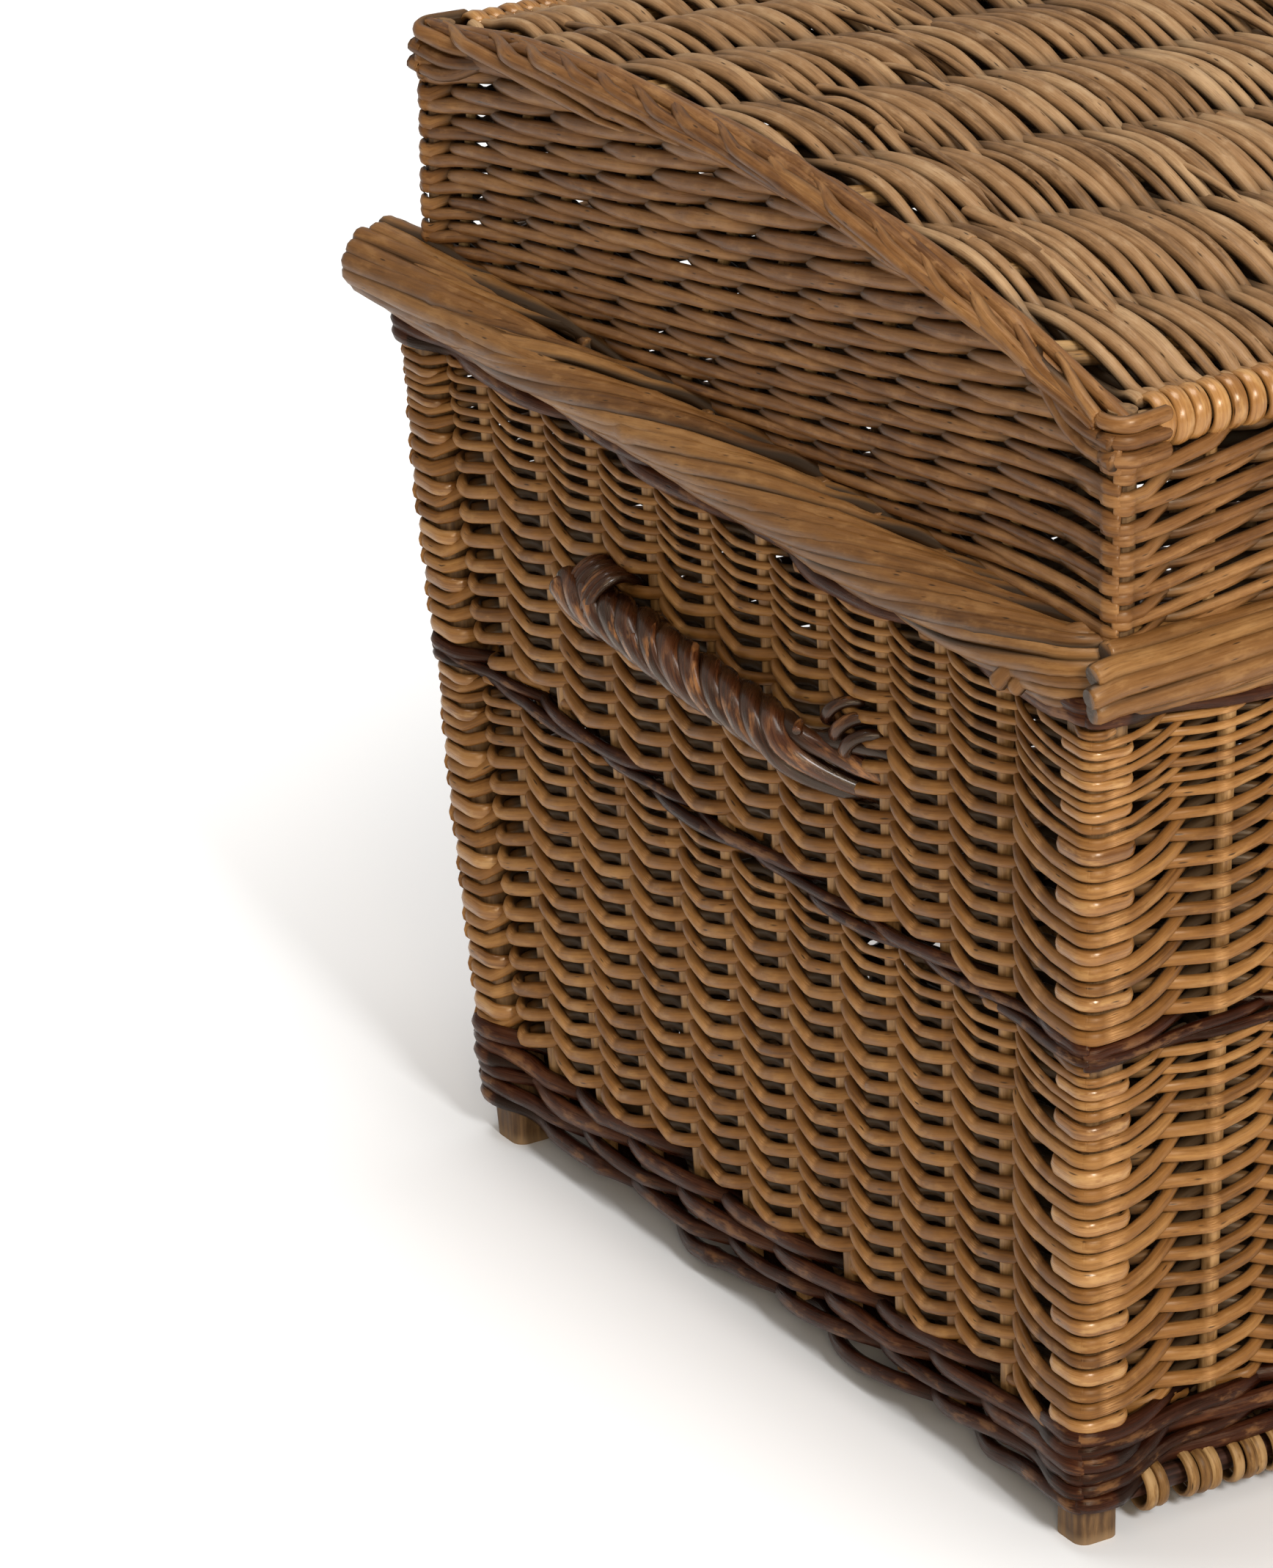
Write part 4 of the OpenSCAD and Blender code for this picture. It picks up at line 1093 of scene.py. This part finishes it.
def build_lid_top():
    """Rods from front to back, over and under the ribs. Every second one ends in a wrap at each roll."""
    tops = [Rods("lid_top_left_rods", 71), Rods("lid_top_right_rods", 72)]
    wraps = {-1: Rods("lid_front_roll_rods", 73), 1: Rods("lid_back_roll_rods", 74)}
    number = int(2 * (LID_IN - 3) / TOP_PITCH)
    for i in range(number):
        x = -LID_IN + 3 + (i + 0.5) * TOP_PITCH
        rods = tops[0 if x < 0 else 1]
        rng = rods.rng
        places = rib_places(x)
        y = np.arange(-TOP_END, TOP_END + 0.1, 4.25)
        phase = np.interp(y, places, np.arange(len(places)), left=-0.6, right=len(places) - 0.4) + i
        frac = np.mod(phase + 0.5, 2.0)
        over = frac < 1
        local = np.where(over, frac, frac - 1)
        bow = np.sin(math.pi * local ** 0.9)
        lift = np.where(over, bow, -bow)
        to_roll = smooth((np.abs(y) - TOP_END + 16) / 16)
        radius = rng.uniform(*TOP_RADII) * (1 + 0.12 * lift)
        radius = radius * (1 - to_roll) + 2.8 * to_roll
        z = arc_at(y) - TOP_DEEP + 6.2 * lift * (1 - to_roll) + 4.3 * to_roll
        drift = 2.2 * smooth_noise(rng, y - y[0], 110, 1)[:, 0]
        drift += 1.3 * smooth_noise(rng, y - y[0], 46, 1)[:, 0]
        drift *= 1 - to_roll
        if rng.uniform() < 0.14:
            drift += rng.choice([-4.2, 4.2]) * np.exp(-((y - rng.uniform(-200, 200)) / 70) ** 2)
        path = np.stack([x + drift, y, z], 1)
        # Painted shade: a rod is darker where it dips under a rib.
        expose = 0.6 + 0.4 * lift * (1 - to_roll) + 0.35 * to_roll
        tone = rng.uniform()
        joined = int(rng.uniform(0, 9)) == 0
        gap = 40 + int(rng.uniform(0, len(y) - 80)) if joined else 0
        for part in ([slice(0, gap), slice(gap - 9, len(y))] if gap else [slice(0, len(y))]):
            bit = path[part].copy()
            if gap:
                bit[:, 0] += 1.1 * (1 if part.start else -1) * np.exp(-((y[part] - y[gap]) / 30) ** 2)
            rods.add(bit, radius[part], (0, 0, 1.0), expose[part], sides=8, wobble=0.5, blunt=0.9,
                     tone=tone if part.start == 0 else rng.uniform())
        if i % 2 == 0:
            continue
        for s, wrap in wraps.items():
            angle = np.linspace(math.radians(118), math.radians(-130), 26)
            thin = wrap.rng.uniform(*WRAP_RADII)
            reach = ROLL_R - 0.45 * thin + wrap.rng.uniform(-0.3, 0.5)
            slant = wrap.rng.normal(0, 0.9) * np.linspace(0, 1, len(angle))
            turn, out = round_bar(x + slant, ROLL_Y, ROLL_Z, s, reach, angle)
            wrap.add(turn, thin, out, 1.0, flat=0.5, wobble=0.25, tone=0.5 * tone + 0.5 * wrap.rng.uniform())
    add_strays(tops)
    finish_piece(tops[0], LID_TOP, "willow_lid_top", "lid", "lid_top_weave")
    finish_piece(tops[1], LID_TOP, "willow_lid_top", "lid", "lid_top_weave")
    finish_piece(wraps[-1], GLOSSY, "willow_glossy", "lid", "lid_front_wrap")
    finish_piece(wraps[1], GLOSSY, "willow_glossy", "lid", "lid_back_wrap")
    build_ribs()


def build_ribs():
    """The pairs of ribs along the lid, inside its top."""
    ribs = Rods("lid_rib_rods", 75)
    xs = np.linspace(-LID_IN + 1, LID_IN - 1, 120)
    table = np.array([rib_places(x) for x in xs])
    for k in range(table.shape[1]):
        for s in (-1, 1):
            y = table[:, k] + s * RIB_HALF_GAP
            for first, stop in runs(np.abs(y) < ROLL_Y - 14):
                if stop - first > 6:
                    cut = slice(first, stop)
                    path = np.stack([xs[cut], y[cut], arc_at(y[cut]) - TOP_DEEP], 1)
                    ribs.add(path, RIB_R, (0, 0, 1.0), 0.6)
    finish_piece(ribs, BASE, "base_willow", "lid", "lid_ribs")


def add_strays(tops):
    """Thin rods laid slantwise over the lid's top, where a neighbour slipped or was mended."""
    for rods, first, last in ((tops[0], -LID_IN + 12, -10), (tops[1], 10, LID_IN - 12)):
        rng = rods.rng
        for _ in range(20):
            t = np.linspace(0, 1, 40)
            y = rng.uniform(-215, 120) + rng.uniform(60, 130) * t
            x = np.clip(rng.uniform(first, last) + rng.uniform(-9, 9) * t, first - 6, last + 6)
            z = arc_at(y) - 6.0 + 4.2 * np.sin(math.pi * t)
            rods.add(np.stack([x, y, z], 1), rng.uniform(1.7, 2.6), (0, 0, 1.0), 0.85, wobble=0.6)


def edge_turn(s, f, height):
    """The end of an edge rod: round the lid's post at end s and side f, to under the roll's wraps."""
    centre = np.array([s * LID_HALF_L, f * LID_HALF_W, 0.0])
    spin = np.linspace(0, math.pi / 2, 9)
    way = np.stack([s * np.cos(spin), f * np.sin(spin), np.zeros(9)], 1)
    turn = centre + way * 9.0 + [0, 0, height]
    tail = turn[-1] + np.outer([4.0, 8.0, 12.0, 16.0], [-s, -0.12 * f, 0.0])
    return np.concatenate([turn, tail]), np.concatenate([way, np.tile(way[-1], (4, 1))])


def build_lid_stakes():
    """The leaning stakes of the lid's end walls, a little thicker than the frame's own, so that they show."""
    for side in (LEFT, RIGHT):
        wall = lid_wall(side)
        name = f"lid_{SIDE_NAMES[side]}_stakes"
        rods = Rods(f"{name}_rods", 77 + side)
        for mid in LID_END_MIDS:
            z = np.linspace(LID_LOW - 1, float(arc_at(mid)) - 3, 14)
            along = end_lean(np.full(len(z), -mid), z)
            z = np.minimum(z, arc_at(along) - 5)
            rods.add(wall.point(along, z, 0), 2.6, wall.normal, 1.0, flat=1.0, wobble=0.2)
        finish_piece(rods, STAKE_WILLOW, "stake_willow", "lid", name)


EDGE_HEIGHTS = (508.0, 500.5, 493.0)


def build_lid_edges():
    """The bundle along each arched edge of the lid, with thin rods laid down slantwise over it.

    Every second rod of the bundle turns round the posts at its ends, and y keeps those turns for the rest.
    """
    for side, s in ((LEFT, -1), (RIGHT, 1)):
        rods = Rods(f"lid_{SIDE_NAMES[side]}_edge_rods", 81 + s)
        rng = rods.rng
        y = np.arange(-LID_HALF_W + 8, LID_HALF_W - 7, 5.0)
        for i in range(6):
            swirl = 2 * math.pi * (i / 6 + y / 380)
            x = s * (LID_HALF_L + 0.8 + 3.6 * np.cos(swirl))
            z = arc_at(y) - 6.0 + 3.4 * np.sin(swirl)
            out = np.tile([s, 0, 1.2], (len(y), 1))
            path = np.stack([x, y, z], 1)
            if i % 2 == 0:
                height = EDGE_HEIGHTS[i // 2]
                for f in (-1, 1):
                    near = smooth((f * y - LID_HALF_W + 75) / 70)
                    path[:, 2] += near * (height - path[:, 2])
                    path[:, 0] += near * (s * (LID_HALF_L + 8.6) - path[:, 0])
                    turn, way = edge_turn(s, f, height)
                    path = np.concatenate([turn[::-1], path] if f < 0 else [path, turn])
                    out = np.concatenate([way[::-1], out] if f < 0 else [out, way])
                    y = path[:, 1]
            rods.add(path, 3.6 if i % 2 == 0 else 3.1, out, 0.95, flat=0.8, sides=10, wobble=0.5)
        begin = -LID_HALF_W + 6
        while begin < LID_HALF_W - 40:
            t = np.linspace(0, 1, 46)
            along = begin + rng.uniform(140, 205) * t
            lean = (arc_at(begin + 20) - arc_at(begin)) / 20 if begin > -200 else 0.12
            drop = 1.0 + (arc_at(begin) - 1 + (lean - 0.11) * (along - begin))
            z = np.minimum(arc_at(np.clip(along, -258, 258)) - 1.5, drop - 1.5)
            keep = (np.abs(along) < LID_HALF_W - 3) & (z > 425)
            begin += rng.uniform(23, 40)
            if keep.sum() < 10:
                continue
            n = 2 + 7.2 * smooth(t / 0.2) - 3.5 * smooth((t - 0.8) / 0.2)
            path = np.stack([s * (LID_HALF_L + n), -along, z], 1)[keep]
            t = t[keep]
            radius = rng.uniform(2.6, 3.5) * (0.5 + 0.5 * smooth(t / 0.15))
            radius = radius * (1 - 0.6 * smooth((t - 0.5) / 0.5))
            rods.add(path, radius, (s, 0, 0.4), 0.9, wobble=0.8)
        finish_piece(rods, LID_WALL, "willow_lid_wall", "lid", f"lid_{SIDE_NAMES[side]}_edge")


# ---- Carried-over CAD nodes ----

def dress_cad():
    """Materials for the nodes that are shown as the frame has them."""
    for name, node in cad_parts.items():
        if node.hide_render:
            continue
        if name.startswith("post_") or name == "lid_posts":
            material = POSTS
        elif name in ("base_sticks", "lid_front_bar", "lid_back_bar", "lid_hinge_rod"):
            material = STICKS
        elif name in ("base_front_rod", "base_back_rod", "hinge_loops"):
            material = DARK_BAR
        else:
            material = STAKES
        node.data.materials.clear()
        node.data.materials.append(material)


# ---- Stage ----

CAMERA_AT = (-2.5628, -3.3786, 2.0927)
CAMERA_YAW, CAMERA_PITCH, CAMERA_ROLL = 32.204, 24.524, -0.197
FOCAL_PIXELS, FRAME_WIDE = 14626.98, 1736
SENSOR = 36.0
# Area lights in metres and watts: name, place, size, power, colour
LIGHTS = (("key", (-0.7, -3.3, 2.3), 0.8, 110, (1, 1, 1)),
          ("fill", (-1.6, -2.2, 1.2), 0.6, 13, (1, 0.82, 0.58)),
          ("top", (-0.4, 0.3, 3.6), 1.6, 70, (1, 1, 1)))
LIGHTS_AIM = (0.0, 0.0, 0.3)


def build_floor():
    """A pale floor that glows a little for the camera alone, away from the trunk."""
    floor = bpy.data.objects.new("floor", bpy.data.meshes.new("floor"))
    floor.data.from_pydata([(-9, -9, 0), (9, -9, 0), (9, 9, 0), (-9, 9, 0)], [], [(0, 1, 2, 3)])
    bpy.context.scene.collection.objects.link(floor)
    s = Shader("floor_white")
    s.bsdf.inputs["Base Color"].default_value = colour(0.93, 0.93, 0.93)
    s.bsdf.inputs["Emission Color"].default_value = colour(1, 1, 1)
    seen = s.node("ShaderNodeLightPath").outputs["Is Camera Ray"]
    place = s.node("ShaderNodeNewGeometry").outputs["Position"]
    far = s.node("ShaderNodeVectorMath", {0: place}, operation="LENGTH").outputs["Value"]
    glow = s.ramp(far, 0.45, 0.8, 0.0, 0.35)
    s.put(s.bsdf.inputs["Emission Strength"], s.maths("MULTIPLY", seen, glow))
    s.bsdf.inputs["Roughness"].default_value = 0.8
    floor.data.materials.append(s.material)


def build_camera():
    data = bpy.data.cameras.new("camera")
    data.sensor_fit = "HORIZONTAL"
    data.sensor_width = SENSOR
    data.lens = FOCAL_PIXELS * SENSOR / FRAME_WIDE
    data.clip_end = 100
    camera = bpy.data.objects.new("camera", data)
    yaw, pitch, roll = (math.radians(v) for v in (CAMERA_YAW, CAMERA_PITCH, CAMERA_ROLL))
    forward = np.array([math.sin(yaw) * math.cos(pitch), math.cos(yaw) * math.cos(pitch), -math.sin(pitch)])
    right = np.array([math.cos(yaw), -math.sin(yaw), 0.0])
    up = np.cross(right, forward)
    rolled = math.cos(roll) * right + math.sin(roll) * up
    up = -math.sin(roll) * right + math.cos(roll) * up
    matrix = Matrix.Identity(4)
    for column, axis in enumerate((rolled, up, -forward, CAMERA_AT)):
        for line in range(3):
            matrix[line][column] = axis[line]
    camera.matrix_world = matrix
    bpy.context.scene.collection.objects.link(camera)
    bpy.context.scene.camera = camera


def build_lights():
    for name, place, size, power, tint in LIGHTS:
        data = bpy.data.lights.new(name, "AREA")
        data.size = size
        data.energy = power
        data.color = tint
        lamp = bpy.data.objects.new(name, data)
        lamp.location = place
        way = np.array(LIGHTS_AIM) - np.array(place)
        lamp.rotation_euler = Vector(way).to_track_quat("-Z", "Y").to_euler()
        bpy.context.scene.collection.objects.link(lamp)
    world = bpy.data.worlds.new("world")
    world.use_nodes = True
    world.node_tree.nodes["Background"].inputs[0].default_value = colour(1, 0.97, 0.93)
    world.node_tree.nodes["Background"].inputs[1].default_value = 0.38
    bpy.context.scene.world = world
    bpy.context.scene.view_settings.view_transform = "Standard"


build_floor()
build_camera()
build_lights()
build_body_walls()
build_corner_bands()
build_wales()
build_border()
build_handle(LEFT, 41)
build_handle(RIGHT, 42)
build_base()
build_lid_walls()
build_lid_top()
build_lid_stakes()
build_lid_edges()
dress_cad()
